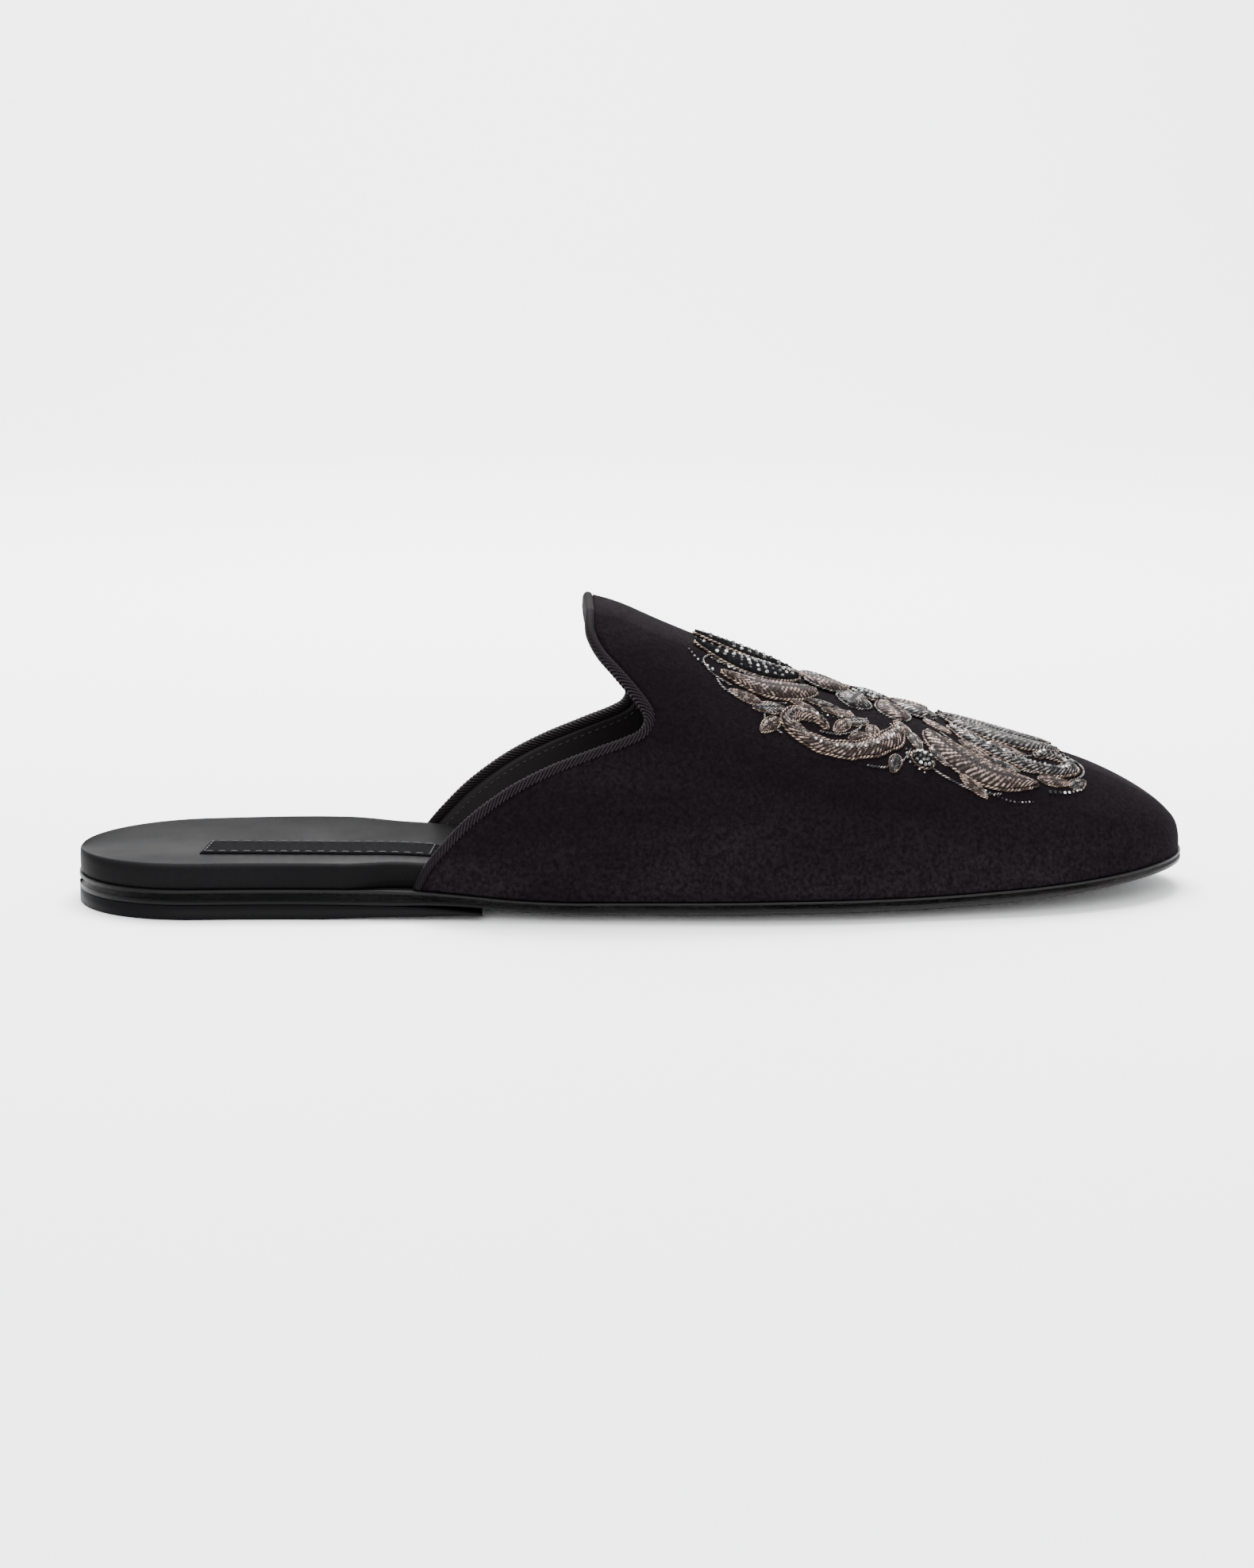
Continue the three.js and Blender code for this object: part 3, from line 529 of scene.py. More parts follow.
# Insole label
# A strip of black woven ribbon, its ends folded, sewn to the insole along a line close
# to its edge. It is bare.
LABEL_LENGTH = 0.060
LABEL_WIDTH = 0.017
LABEL_THICKNESS = 0.0006
LABEL_START = 0.0328
LABEL_SIDE = -0.0032
LABEL_TURN = np.radians(-5)
LABEL_STITCH_INSET = 0.0010
LABEL_STITCHES = 46
LABEL_THREAD = 0.00018
LABEL_HUMP = 0.00012
LABEL_BACKING = 0.00002
LABEL_THREAD_COLOUR = (0.011, 0.011, 0.012, 1)
LABEL_DARK = (0.0016, 0.0016, 0.0020, 1)
LABEL_LIGHT = (0.0046, 0.0046, 0.0054, 1)


def on_insole(along, across, lift):
    """A place on the label's turned rectangle, raised over the insole's top."""
    x = LABEL_START + along * np.cos(LABEL_TURN) - across * np.sin(LABEL_TURN)
    y = LABEL_SIDE + along * np.sin(LABEL_TURN) + across * np.cos(LABEL_TURN)
    return np.stack([x, y, insole_top(x, y) + lift], -1)


def label_grid(stations, across):
    """Flat ribbon whose edges round down: lift falls with the fourth power of the edge."""
    u = np.linspace(0, 1, stations)[:, None]
    c = np.linspace(-1, 1, across)[None]
    edge = np.maximum(np.abs(2 * u - 1) ** 60, np.abs(c) ** 20)
    top = on_insole(u * LABEL_LENGTH, c * LABEL_WIDTH / 2, LABEL_THICKNESS * (1 - 0.6 * edge))
    low = on_insole(u * LABEL_LENGTH, -c * LABEL_WIDTH / 2, LABEL_BACKING)
    return np.concatenate([top, low], 1)


def woven_material():
    """Woven ribbon: warp and weft waves crossing at thread scale."""
    material, tree, shader = new_material("woven ribbon", 0.8, 0.008)
    vector = coordinates(tree)
    waves = []
    for direction in ("X", "Y"):
        wave = node(tree, "ShaderNodeTexWave", wave_type="BANDS", bands_direction=direction, Scale=700.0)
        tree.links.new(vector, wave.inputs["Vector"])
        waves.append(wave.outputs["Fac"])
    cross = times(tree, *waves)
    tree.links.new(mix(tree, cross, LABEL_DARK, LABEL_LIGHT), shader.inputs["Base Color"])
    bump(tree, shader, cross, 0.4, 0.0001)
    return material


label_mesh = shell("ribbon_label", label_grid(120, 61), wrap=True, close=(0, -1))
place(label_mesh, [woven_material()], "woven_label", "insole_label")


def unit(vectors):
    """The vectors scaled to a length of one."""
    return vectors / (np.linalg.norm(vectors, axis=-1, keepdims=True) + 1e-15)


def stitches(name, centre, radius):
    """Round threads along paths: centre is threads x points x 3, closed to a point at both
    ends. The ring at each point lies in the plane across the path, on the up direction and
    its cross product with the path.
    """
    tangent = unit(np.gradient(centre, axis=1))
    up = unit(np.cross(tangent, np.cross(np.array([0.02, 0.05, 1.0]), tangent)))
    side = np.cross(tangent, up)
    sides = 6
    turn = np.linspace(0, 2 * np.pi, sides, endpoint=False)
    taper = np.ones(centre.shape[1])
    taper[[0, -1]] = 0.05
    ring = up[:, :, None] * np.cos(turn)[:, None] + side[:, :, None] * np.sin(turn)[:, None]
    points = centre[:, :, None] + ring * (radius * taper)[:, None, None]
    count, length = centre.shape[:2]
    numbers = np.arange(count * length * sides).reshape(count, length, sides)
    around = np.concatenate([numbers, numbers[:, :, :1]], 2)
    quads = np.stack([around[:, :-1, :-1], around[:, 1:, :-1], around[:, 1:, 1:], around[:, :-1, 1:]], -1)
    caps = numbers[:, 0].tolist() + numbers[:, -1, ::-1].tolist()
    return new_mesh(name, points, quads.reshape(-1, 4).tolist() + caps)


def thread_material(name, colour, roughness):
    """Plain sewing thread."""
    material, tree, shader = new_material(name, roughness, 0.5)
    fibre = noise(tree, coordinates(tree), Scale=3000.0)
    dark = tuple(0.6 * part for part in colour[:3]) + (1,)
    tree.links.new(mix(tree, fibre, dark, colour), shader.inputs["Base Color"])
    bump(tree, shader, fibre, 0.3, 0.0001)
    return material


def label_stitches():
    """Short humped stitches end to end round a rectangle just inside the label's edge."""
    long_side = LABEL_LENGTH - 2 * LABEL_STITCH_INSET
    short_side = LABEL_WIDTH - 2 * LABEL_STITCH_INSET
    corners = np.array([0, long_side, long_side + short_side, 2 * long_side + short_side])
    total = 2 * (long_side + short_side)
    starts = np.linspace(0, total, LABEL_STITCHES, endpoint=False)
    way = (starts[:, None] + np.linspace(0.12, 0.80, 7)[None] * total / LABEL_STITCHES) % total
    places = np.append(corners, total)
    along = np.interp(way, places, [0, long_side, long_side, 0, 0]) + LABEL_STITCH_INSET
    across = np.interp(way, places, [0, 0, short_side, short_side, 0]) - short_side / 2
    hump = LABEL_THICKNESS + LABEL_HUMP * (np.sin(np.linspace(0, np.pi, 7))[None] - 0.5)
    return stitches("label_stitches", on_insole(along, across, hump), LABEL_THREAD)


label_thread = thread_material("label thread", LABEL_THREAD_COLOUR, 0.7)
place(label_stitches(), [label_thread], "woven_label")

# Upper
# One piece of black silk velvet over a stiff backing, lined with thin black leather,
# lasted over the toe with no toe cap, and stitched down all round the sole.
INSTEP_HEIGHT = 0.079
TOE_WELT = 0.0005
TOE_LIP = 0.0035
VAMP_CAP = 0.034
UPPER_END = LENGTH - TOE_WELT
BINDING_WIDTH = 0.0021
BINDING_THICKNESS = 0.0031
INNER_BACK = 0.0025
NAP_DARK = (0.0023, 0.0015, 0.0021, 1)
NAP_LIGHT = (0.0115, 0.0090, 0.0105, 1)
# Painted shade: between these heights the velvet darkens upwards, so its lit top stays dark
VELVET_SHADE_START = 0.006
VELVET_SHADE_FULL = 0.030
LINING_DARK = (0.0052, 0.0042, 0.0043, 1)
LINING_LIGHT = (0.0095, 0.0078, 0.0078, 1)

# ridge: height of the ridge as a share of the instep height. lean: how far it lies to
# the inner side, as a share of the ball width. side, crown: fullness, 1 is an ellipse.
VAMP = np.rec.fromrecords([
    (0.29, 1.14, 0.040, 0.90, 0.95),
    (0.345, 1.10, 0.065, 0.92, 0.96),
    (0.40, 1.05, 0.085, 0.95, 0.97),
    (0.452, 0.998, 0.092, 0.97, 0.98),
    (0.479, 0.970, 0.095, 0.98, 0.98),
    (0.522, 0.901, 0.092, 0.98, 0.98),
    (0.61, 0.768, 0.065, 0.96, 0.97),
    (0.683, 0.668, 0.045, 0.94, 0.95),
    (0.772, 0.571, 0.025, 0.92, 0.92),
    (0.855, 0.482, 0.012, 0.90, 0.90),
    (0.93, 0.412, 0.004, 0.90, 0.88),
    (1, 0.350, 0, 0.90, 0.88),
], names="at,ridge,lean,side,crown")

# Centreline of the binding from the side, from the peak down to the sole. rise: share
# of the instep height. inner: how much farther back the inner side lies.
TOPLINE = np.rec.fromrecords([
    (0.4565, 0.957, 0),
    (0.4555, 0.925, -0.2),
    (0.4565, 0.888, -0.3),
    (0.4640, 0.835, -0.2),
    (0.4776, 0.779, 0.1),
    (0.4920, 0.718, 0.5),
    (0.5020, 0.668, 0.8),
    (0.5040, 0.632, 0.7),
    (0.4975, 0.595, 0.5),
    (0.4830, 0.570, 0.2),
    (0.4560, 0.536, -0.1),
    (0.4160, 0.479, -0.3),
    (0.3815, 0.412, -0.4),
    (0.3490, 0.322, -0.4),
    (0.3260, 0.234, -0.3),
    (0.3120, 0.170, -0.2),
    (0.3055, 0.127, 0),
    (0.3020, 0.100, 0),
], names="at,rise,inner")

# Soft troughs pressed into the velvet. at: share of the length, height: share
# of the instep height, long and tall: half sizes, deep: depth, all three in metres.
TROUGHS = np.rec.fromrecords([
    (-1, 0.80, 0.16, 0.024, 0.0035, 0.00035),
    (-1, 0.70, 0.22, 0.028, 0.0045, 0.00040),
    (-1, 0.60, 0.30, 0.020, 0.0060, 0.00045),
    (-1, 0.885, 0.20, 0.012, 0.0040, 0.00030),
    (1, 0.78, 0.18, 0.026, 0.0040, 0.00040),
    (1, 0.66, 0.26, 0.024, 0.0050, 0.00045),
    (1, 0.57, 0.36, 0.018, 0.0060, 0.00040),
], names="side,at,height,long,tall,deep")


def ridge_height(x):
    """The table's ridge, closed at the toe by a quarter ellipse on a short upright lip."""
    height = INSTEP_HEIGHT * through(x / LENGTH, VAMP.at, VAMP.ridge)
    tip = sole_top(UPPER_END, middle(UPPER_END)) + CLEARANCE + TOE_LIP
    s = np.clip((x - UPPER_END + VAMP_CAP) / VAMP_CAP, 0, 1)
    return tip + (height - tip) * np.sqrt(1 - s * s)


def upper_point(x, turn, side):
    """Outer surface: a superellipse from the sole's edge (turn 0) up to the ridge."""
    at = x / LENGTH
    ridge_y = middle(x) + BALL_WIDTH * through(at, VAMP.at, VAMP.lean)
    base_y = middle(x) + side * half_width(x, WELT, WELT, TOE_WELT)
    base_z = sole_top(x, base_y) + CLEARANCE
    y = ridge_y + (base_y - ridge_y) * np.maximum(np.cos(turn), 0) ** through(at, VAMP.at, VAMP.side)
    z = base_z + (ridge_height(x) - base_z) * np.sin(turn) ** through(at, VAMP.at, VAMP.crown)
    return spread_out(x, y, z)


def turn_at_height(x, z, side):
    """The turn at which the section through x reaches a height."""
    base = upper_point(x, 0 * x, side)[..., 2]
    share = np.clip((z - base) / (ridge_height(x) - base), 0, 1)
    return np.arcsin(np.minimum(share ** (1 / through(x / LENGTH, VAMP.at, VAMP.crown)), 1))


def upper_normal(x, turn, side):
    """Outward normal: the cross product of the steps round and along the surface."""
    step = 0.00025
    along = upper_point(x + step, turn, side) - upper_point(x - step, turn, side)
    low = np.maximum(turn - 0.01, 0.001)
    high = np.minimum(turn + 0.01, np.pi / 2 - 0.001)
    around = upper_point(x, high, side) - upper_point(x, low, side)
    out = np.cross(around, along) * np.asarray(side)[..., None]
    out[..., 1] = np.where(turn > np.pi / 2 - 1e-6, 0, out[..., 1])
    return unit(out)


def topline(side, count):
    """Binding centreline from the peak to the sole, with the surface's frame along it.

    Gives the points, the outward normal and the direction in the surface away from the
    vamp, which is the cross product of the path and the normal.
    """
    k = np.linspace(0, 1, count)
    rows = np.linspace(0, 1, len(TOPLINE))
    inner = through(k, rows, TOPLINE.inner) if side > 0 else 0 * k
    x = LENGTH * through(k, rows, TOPLINE.at) - INNER_BACK * inner
    turn = turn_at_height(x, INSTEP_HEIGHT * through(k, rows, TOPLINE.rise), side)
    turn[0] = np.pi / 2
    point = upper_point(x, turn, side)
    path = np.gradient(point, axis=0)
    path[0] = [0, side, 0]
    path = unit(path)
    out = upper_normal(x, np.minimum(turn, np.pi / 2 - 0.01), side)
    out[0, 1] = 0
    out = unit(out - path * (out * path).sum(-1, keepdims=True))
    back = np.cross(path, out) * -side
    return point, out, back


def cut_edge(side):
    """Turn and place of the velvet's cut edge, half a binding in from its centreline."""
    point, out, back = topline(side, 400)
    moved = point - back * (BINDING_WIDTH / 2 + CLEARANCE)
    turn = turn_at_height(moved[:, 0], moved[:, 2], side)
    order = np.argsort(turn)
    return turn[order], moved[order, 0]


def pressed(points, side):
    """Depth of the troughs: a Gaussian each, along the shoe and up it."""
    depth = np.zeros(points.shape[:-1])
    for row in TROUGHS:
        far = ((points[..., 0] - row.at * LENGTH) / row.long) ** 2
        far = far + ((points[..., 2] - row.height * INSTEP_HEIGHT) / row.tall) ** 2
        depth += np.where(side == row.side, row.deep * np.exp(-far), 0)
    return depth


def upper_grid(stations, lines):
    """Outer rows from topline to toe joined to the inner face, a wall further in."""
    outer_turns, outer_places = cut_edge(-1)
    inner_turns, inner_places = cut_edge(1)
    turns = outer_turns[np.linspace(0, len(outer_turns) - 1, lines).round().astype(int)]
    turns[0] = 0
    turns[-1] = np.pi / 2
    turns = np.maximum.accumulate(turns + np.arange(lines) * 1e-5)
    turns = np.minimum(turns, np.pi / 2)
    turn = np.concatenate([turns, turns[-2::-1]])
    side = np.concatenate([-np.ones(lines), np.ones(lines - 1)])
    start = np.where(side < 0, np.interp(turn, outer_turns, outer_places),
                     np.interp(turn, inner_turns, inner_places))
    k = np.sin(np.linspace(0, np.pi / 2, stations))[:, None]
    x = start[None] + (UPPER_END - start[None]) * k
    grid = upper_point(np.minimum(x, UPPER_END), turn, side)
    out = np.cross(np.gradient(grid, axis=0), np.gradient(grid, axis=1))
    out[:, [0, -1], 2] = 0
    out[-1] = [1, 0, 0]
    out = unit(out)
    inner = grid - out * WALL
    for edge in (0, -1):
        inner[:, edge, 2] = sole_top(inner[:, edge, 0], inner[:, edge, 1]) + CLEARANCE
    outer = grid - out * pressed(grid, side[None])[..., None]
    return np.concatenate([outer, inner[:, ::-1]], 1), len(turn)


def velvet_material():
    """Silk velvet: near black pile with brushed patches, bright only where it leans.

    Slow noise stretched along the shoe gives the brushed patches and a fine one gives the pile.
    Painted shade dims both from near the sole upwards, so the top, lit from above, stays as
    dark as the sides. A very weak sheen lights the edges.
    """
    material, tree, shader = new_material("black velvet", 0.9, 0.016)
    vector = coordinates(tree)
    stretched = coordinates(tree, (0.5, 1, 1.6))
    patches = noise(tree, stretched, Scale=30.0, Detail=5.0, Roughness=0.65, Distortion=0.6)
    pile = noise(tree, vector, Scale=950.0, Detail=3.0, Roughness=0.7)
    parts = node(tree, "ShaderNodeSeparateXYZ")
    tree.links.new(vector, parts.inputs[0])
    # Painted shade: darker with height, holding the top under the overhead light down
    low = remap(tree, parts.outputs["Z"], VELVET_SHADE_START, VELVET_SHADE_FULL, 0.85, 0.42)
    brushed_and_shaded = times(tree, remap(tree, patches, 0.40, 0.72, 0.30, 0.80), low)
    share = times(tree, brushed_and_shaded, remap(tree, pile, 0.38, 0.66, 0.15, 1.5))
    tree.links.new(mix(tree, share, NAP_DARK, NAP_LIGHT), shader.inputs["Base Color"])
    tree.links.new(remap(tree, patches, 0.3, 0.7, 0.95, 0.8), shader.inputs["Roughness"])
    shader.inputs["Sheen Weight"].default_value = 0.001
    shader.inputs["Sheen Roughness"].default_value = 0.5
    shader.inputs["Sheen Tint"].default_value = (0.85, 0.72, 0.82, 1)
    bump(tree, shader, pile, 0.6, 0.0003)
    return material


lining = leather("black lining leather", LINING_DARK, LINING_LIGHT, 0.60, 1700.0, 0.15, 0.11)
upper_points, outer_columns = upper_grid(150, 120)
upper_mesh = shell("velvet_upper", upper_points, wrap=True, close=(0,), back=outer_columns)
place(upper_mesh, [velvet_material(), lining], "velvet", "upper")

# Topline binding
# A narrow folded strip of ribbed ribbon over the cut edge, its cords running aslant,
# sewn through beside the edge. It goes from the sole over the peak to the sole.
RIB_PITCH = 0.00120
RIB_DEPTH = 0.00034
RIB_SLANT = -1.7
RIB_OVERLAP = 0.00018
RIBBON_DARK = (0.0008, 0.0006, 0.0008, 1)
RIBBON_LIGHT = (0.0270, 0.0215, 0.0245, 1)
RIB_FADES = (0.010, 0.024, 0.058, 0.068)


def walked(path):
    """Length walked along a path up to each of its points."""
    return np.concatenate([[0], np.cumsum(np.linalg.norm(np.diff(path, axis=0), axis=-1))])


def whole_topline(count):
    """The outer half turned round and joined to the inner half, spaced evenly."""
    outer, inner = (np.concatenate(topline(side, count), -1) for side in (-1, 1))
    path = np.concatenate([outer[::-1], inner[1:]])
    gone = walked(path[:, :3])
    even = np.linspace(0, gone[-1], int(gone[-1] / (RIB_PITCH / 9)))
    path = np.stack([np.interp(even, gone, path[:, part]) for part in range(9)], -1)
    return even, path[:, :3], path[:, 3:6], path[:, 6:]


def binding_grid():
    """Superellipse strip round the wall's edge, ridged by an absolute cosine run aslant.

    The ribs fade out near the sole and near the peak. Gives the grid and a painted shade
    at each point: dark in the grooves, and dimmed near the sole and at the peak.
    """
    gone, point, out, back = whole_topline(400)
    turn = np.linspace(0, 2 * np.pi, 28, endpoint=False)[None]
    centre = (point - out * WALL / 2 - back * RIB_OVERLAP)[:, None]
    phase = np.pi * (gone[:, None] / RIB_PITCH + RIB_SLANT * np.cos(turn))
    height = point[:, None, 2]
    above_sole = ease(RIB_FADES[0], RIB_FADES[1], height)
    near_peak = ease(RIB_FADES[2], RIB_FADES[3], height)
    clear = above_sole * (1 - 0.9 * near_peak)
    wave = np.abs(np.cos(phase))
    ridge = RIB_DEPTH * (wave - 0.4) * clear
    wide = np.sign(np.cos(turn)) * np.abs(np.cos(turn)) ** 0.85
    thick = np.sign(np.sin(turn)) * np.abs(np.sin(turn)) ** 0.85
    grid = centre + back[:, None] * (wide * (BINDING_WIDTH / 2 + RIB_OVERLAP + ridge))[..., None]
    grid = grid + out[:, None] * (thick * (BINDING_THICKNESS / 2 + ridge))[..., None]
    floor = sole_top(grid[..., 0], grid[..., 1]) + CLEARANCE * 0.3
    grid[..., 2] = np.maximum(grid[..., 2], floor)
    # Painted shade: the binding is dimmed near the sole and at the peak
    painted_end_shade = 0.68 + 0.32 * above_sole - 0.26 * near_peak
    return grid, (1 - (1 - wave) * (0.25 + 0.75 * clear)) * painted_end_shade


def ribbon_material():
    """Ribbed ribbon: charcoal cords, with painted shade near black in the grooves between them."""
    material, tree, shader = new_material("ribbed ribbon", 0.70, 0.04)
    fibre = noise(tree, coordinates(tree), Scale=1800.0, Detail=2.0)
    depth = node(tree, "ShaderNodeAttribute", attribute_name="depth").outputs["Fac"]
    share = times(tree, remap(tree, depth, 0.56, 1.0, 0.0, 1.0), remap(tree, fibre, 0.3, 0.7, 0.6, 1.0))
    tree.links.new(mix(tree, share, RIBBON_DARK, RIBBON_LIGHT), shader.inputs["Base Color"])
    bump(tree, shader, fibre, 0.25, 0.0001)
    return material


binding_points, binding_painted_shade = binding_grid()
binding_mesh = shell("ribbed_edge", binding_points, wrap=True, close=(0, -1), painted_shade=binding_painted_shade)
place(binding_mesh, [ribbon_material()], "ribbed_binding", "topline_binding")

# Lining stitches
# The binding is sewn through the edge by machine; the stitches show as a row of small
# dots on the lining, a little inside the binding.
LINING_STITCH_DROP = 0.0022
LINING_STITCH_PITCH = 0.0021
LINING_STITCH_LENGTH = 0.0013
LINING_STITCH_RADIUS = 0.00016
LINING_THREAD_COLOUR = (0.013, 0.012, 0.012, 1)
SIDES = (("outer", -1), ("inner", 1))


def lining_stitches(suffix, side):
    """Humped stitches on the inner face, along the topline moved down by a drop."""
    point, out, back = topline(side, 400)
    edge = point - back * (BINDING_WIDTH / 2 + LINING_STITCH_DROP)
    gone = walked(edge)
    starts = np.arange(LINING_STITCH_PITCH * 2, gone[-1] - LINING_STITCH_PITCH * 3, LINING_STITCH_PITCH)
    way = starts[:, None] + np.linspace(0, LINING_STITCH_LENGTH, 6)[None]
    x = np.interp(way, gone, edge[:, 0])
    z = np.interp(way, gone, edge[:, 2])
    turn = np.minimum(turn_at_height(x, z, side), np.pi / 2 - 0.02)
    hump = LINING_STITCH_RADIUS * 0.6 * np.sin(np.linspace(0, np.pi, 6))[None, :, None]
    face = upper_point(x, turn, side) - upper_normal(x, turn, side) * (WALL + hump)
    return stitches("lining_stitches_" + suffix, face, LINING_STITCH_RADIUS)


lining_thread = thread_material("lining thread", LINING_THREAD_COLOUR, 0.6)
for suffix, side in SIDES:
    place(lining_stitches(suffix, side), [lining_thread], "ribbed_binding")

# Embroidered leaves and bud
# Padded satin stitch in rose or silver metal thread over felt, meeting at a middle vein,
# with a twisted cord couched round. The bud and throat leaves are beads over a near black ground, painted
# shade between the beads.
PAD_GAP = 0.0003
PAD_HEIGHT = 0.0015
PAD_EDGE = 0.0005
PAD_TIP = 0.4
PAD_BACKING = 0.00002
VEIN_DIP = 0.00018
FLOWER_CENTRE = 0.206
SPRAY_REACH = 0.050
STITCH_PITCH = 0.00125
STITCH_DEPTH = 0.00050
STITCH_SLANT = 2.4
CORD_RADIUS = 0.00036
CORD_PITCH = 0.0011
ROSE_DARK = (0.009, 0.006, 0.0055, 1)
ROSE_LIGHT = (0.34, 0.245, 0.212, 1)
CORD_DARK = (0.012, 0.008, 0.006, 1)
CORD_LIGHT = (0.38, 0.275, 0.215, 1)
SILVER_DARK = (0.004, 0.004, 0.0045, 1)
SILVER_LIGHT = (0.31, 0.275, 0.262, 1)
BEAD_LIGHT = (0.80, 0.79, 0.77, 1)
GROUND_LIGHT = (0.010, 0.0095, 0.0095, 1)
BEAD_RADIUS = 0.00056
BEAD_ROW_PITCH = 0.00160
CHART_STEP = 0.01
BUD_SEED = 5
LEAF_SEED = 8

# Paths in shares of the spray's reach, from the flower's centre: along, across
BUD = (0.090, [(-0.44, 0), (-0.58, 0), (-0.74, 0), (-0.92, 0)])
LEAVES = {
    "leaf_toe": (0.096, [(0.41, 0.080), (0.60, 0.150), (0.80, 0.160), (1.00, 0.080)]),
    "leaf_flank": (0.096, [(0.25, 0.400), (0.36, 0.545), (0.56, 0.640), (0.80, 0.610)]),
    "leaf_throat": (0.088, [(-0.385, 0.140), (-0.54, 0.235), (-0.72, 0.265), (-0.93, 0.205)]),
    "leaf_shoulder": (0.066, [(-0.31, 0.300), (-0.46, 0.400), (-0.62, 0.455), (-0.81, 0.430)]),
}


def vamp_chart():
    """Places and normals of the vamp on a square chart of along and across.

    Across is the arc length from the ridge: each section is walked down from the ridge
    in equal turns, and the turn is read off where the summed steps reach it.
    """
    x = FLOWER_CENTRE + np.arange(-1.25, 1.25, CHART_STEP) * SPRAY_REACH
    across = np.arange(-0.92, 0.93, CHART_STEP) * SPRAY_REACH
    turns = np.linspace(np.pi / 2, 0, 121)
    side = np.where(across < -1e-9, -1.0, 1.0)
    wanted = np.zeros((len(x), len(across)))
    for one in (-1.0, 1.0):
        section = upper_point(x[:, None], turns[None], one)
        gone = np.cumsum(np.linalg.norm(np.diff(section, axis=1), axis=-1), axis=1)
        gone = np.concatenate([np.zeros((len(x), 1)), gone], 1)
        reach = np.abs(across)[None, :, None]
        step = np.minimum((gone[:, None, :] <= reach).sum(-1), len(turns) - 1)
        low = np.take_along_axis(gone, step - 1, 1)
        high = np.take_along_axis(gone, step, 1)
        share = np.clip((reach[..., 0] - low) / np.maximum(high - low, 1e-9), 0, 1)
        found = turns[step - 1] + (turns[step] - turns[step - 1]) * share
        wanted = np.where(side[None] == one, found, wanted)
    places = upper_point(x[:, None], wanted, side)
    normals = upper_normal(x[:, None], wanted, side)
    normals[:, np.abs(across) < 1e-6, 1] = 0
    return x[0], across[0], CHART_STEP * SPRAY_REACH, places, normals


CHART = vamp_chart()


def on_vamp(flat, lift):
    """Places on the vamp, read off the chart between its four nearest and raised."""
    x_low, y_low, step, places, normals = CHART
    u = np.clip((FLOWER_CENTRE + flat[..., 0] - x_low) / step, 0, places.shape[0] - 1.001)
    v = np.clip((flat[..., 1] - y_low) / step, 0, places.shape[1] - 1.001)
    i = u.astype(int)
    j = v.astype(int)
    u = (u - i)[..., None]
    v = (v - j)[..., None]

    def read(chart):
        low = chart[i, j] * (1 - v) + chart[i, j + 1] * v
        high = chart[i + 1, j] * (1 - v) + chart[i + 1, j + 1] * v
        return low * (1 - u) + high * u

    out = unit(read(normals))
    return read(places) + out * np.asarray(lift)[..., None], out


def spray_path(path, side, count):
    """Catmull-Rom curve through a path's points, spaced evenly, and its directions."""
    points = np.array(path, float) * SPRAY_REACH * [1, side]
    last = len(points) - 1
    t = np.linspace(0, last, 900)
    i = np.minimum(t.astype(int), last - 1)
    w = (t - i)[:, None]
    start = points[i]
    end = points[i + 1]
    slope = (end - points[np.maximum(i - 1, 0)]) / 2
    other = (points[np.minimum(i + 2, last)] - start) / 2
    curve = (2 * start - 2 * end + slope + other) * w ** 3
    curve = curve + (-3 * start + 3 * end - 2 * slope - other) * w ** 2 + slope * w + start
    return even_steps(curve, count)


def even_steps(curve, count, closed=False):
    """The curve resampled at equal steps: places, directions and whole length."""
    if closed:
        curve = np.vstack([curve, curve[:1]])
    gone = walked(curve)
    even = np.linspace(0, gone[-1], count, endpoint=not closed)
    places = np.stack([np.interp(even, gone, part) for part in curve.T], -1)
    if closed:
        ways = np.roll(places, -1, 0) - np.roll(places, 1, 0)
    else:
        ways = np.gradient(places, axis=0)
    return places, unit(ways), gone[-1]


def path_length(path, side):
    """Whole length of a spray path."""
    return spray_path(path, side, 2)[2]


def quarter_turned(ways):
    """Directions in the flat, turned a quarter turn from along to across."""
    return np.stack([-ways[:, 1], ways[:, 0]], -1)


def heading(turn):
    """Directions in the flat at a turn from along towards across."""
    return np.stack([np.cos(turn), np.sin(turn)], -1)


def crown_height(share):
    """Rise of a pad's middle over its edge, less where the pad is narrow."""
    return (PAD_HEIGHT - PAD_EDGE) * (PAD_TIP + (1 - PAD_TIP) * share)


def leaf_profile(k):
    """Width of a leaf along its path: full near a third, pointed at the tip."""
    return np.sin(np.pi * k ** 0.8) ** 0.8


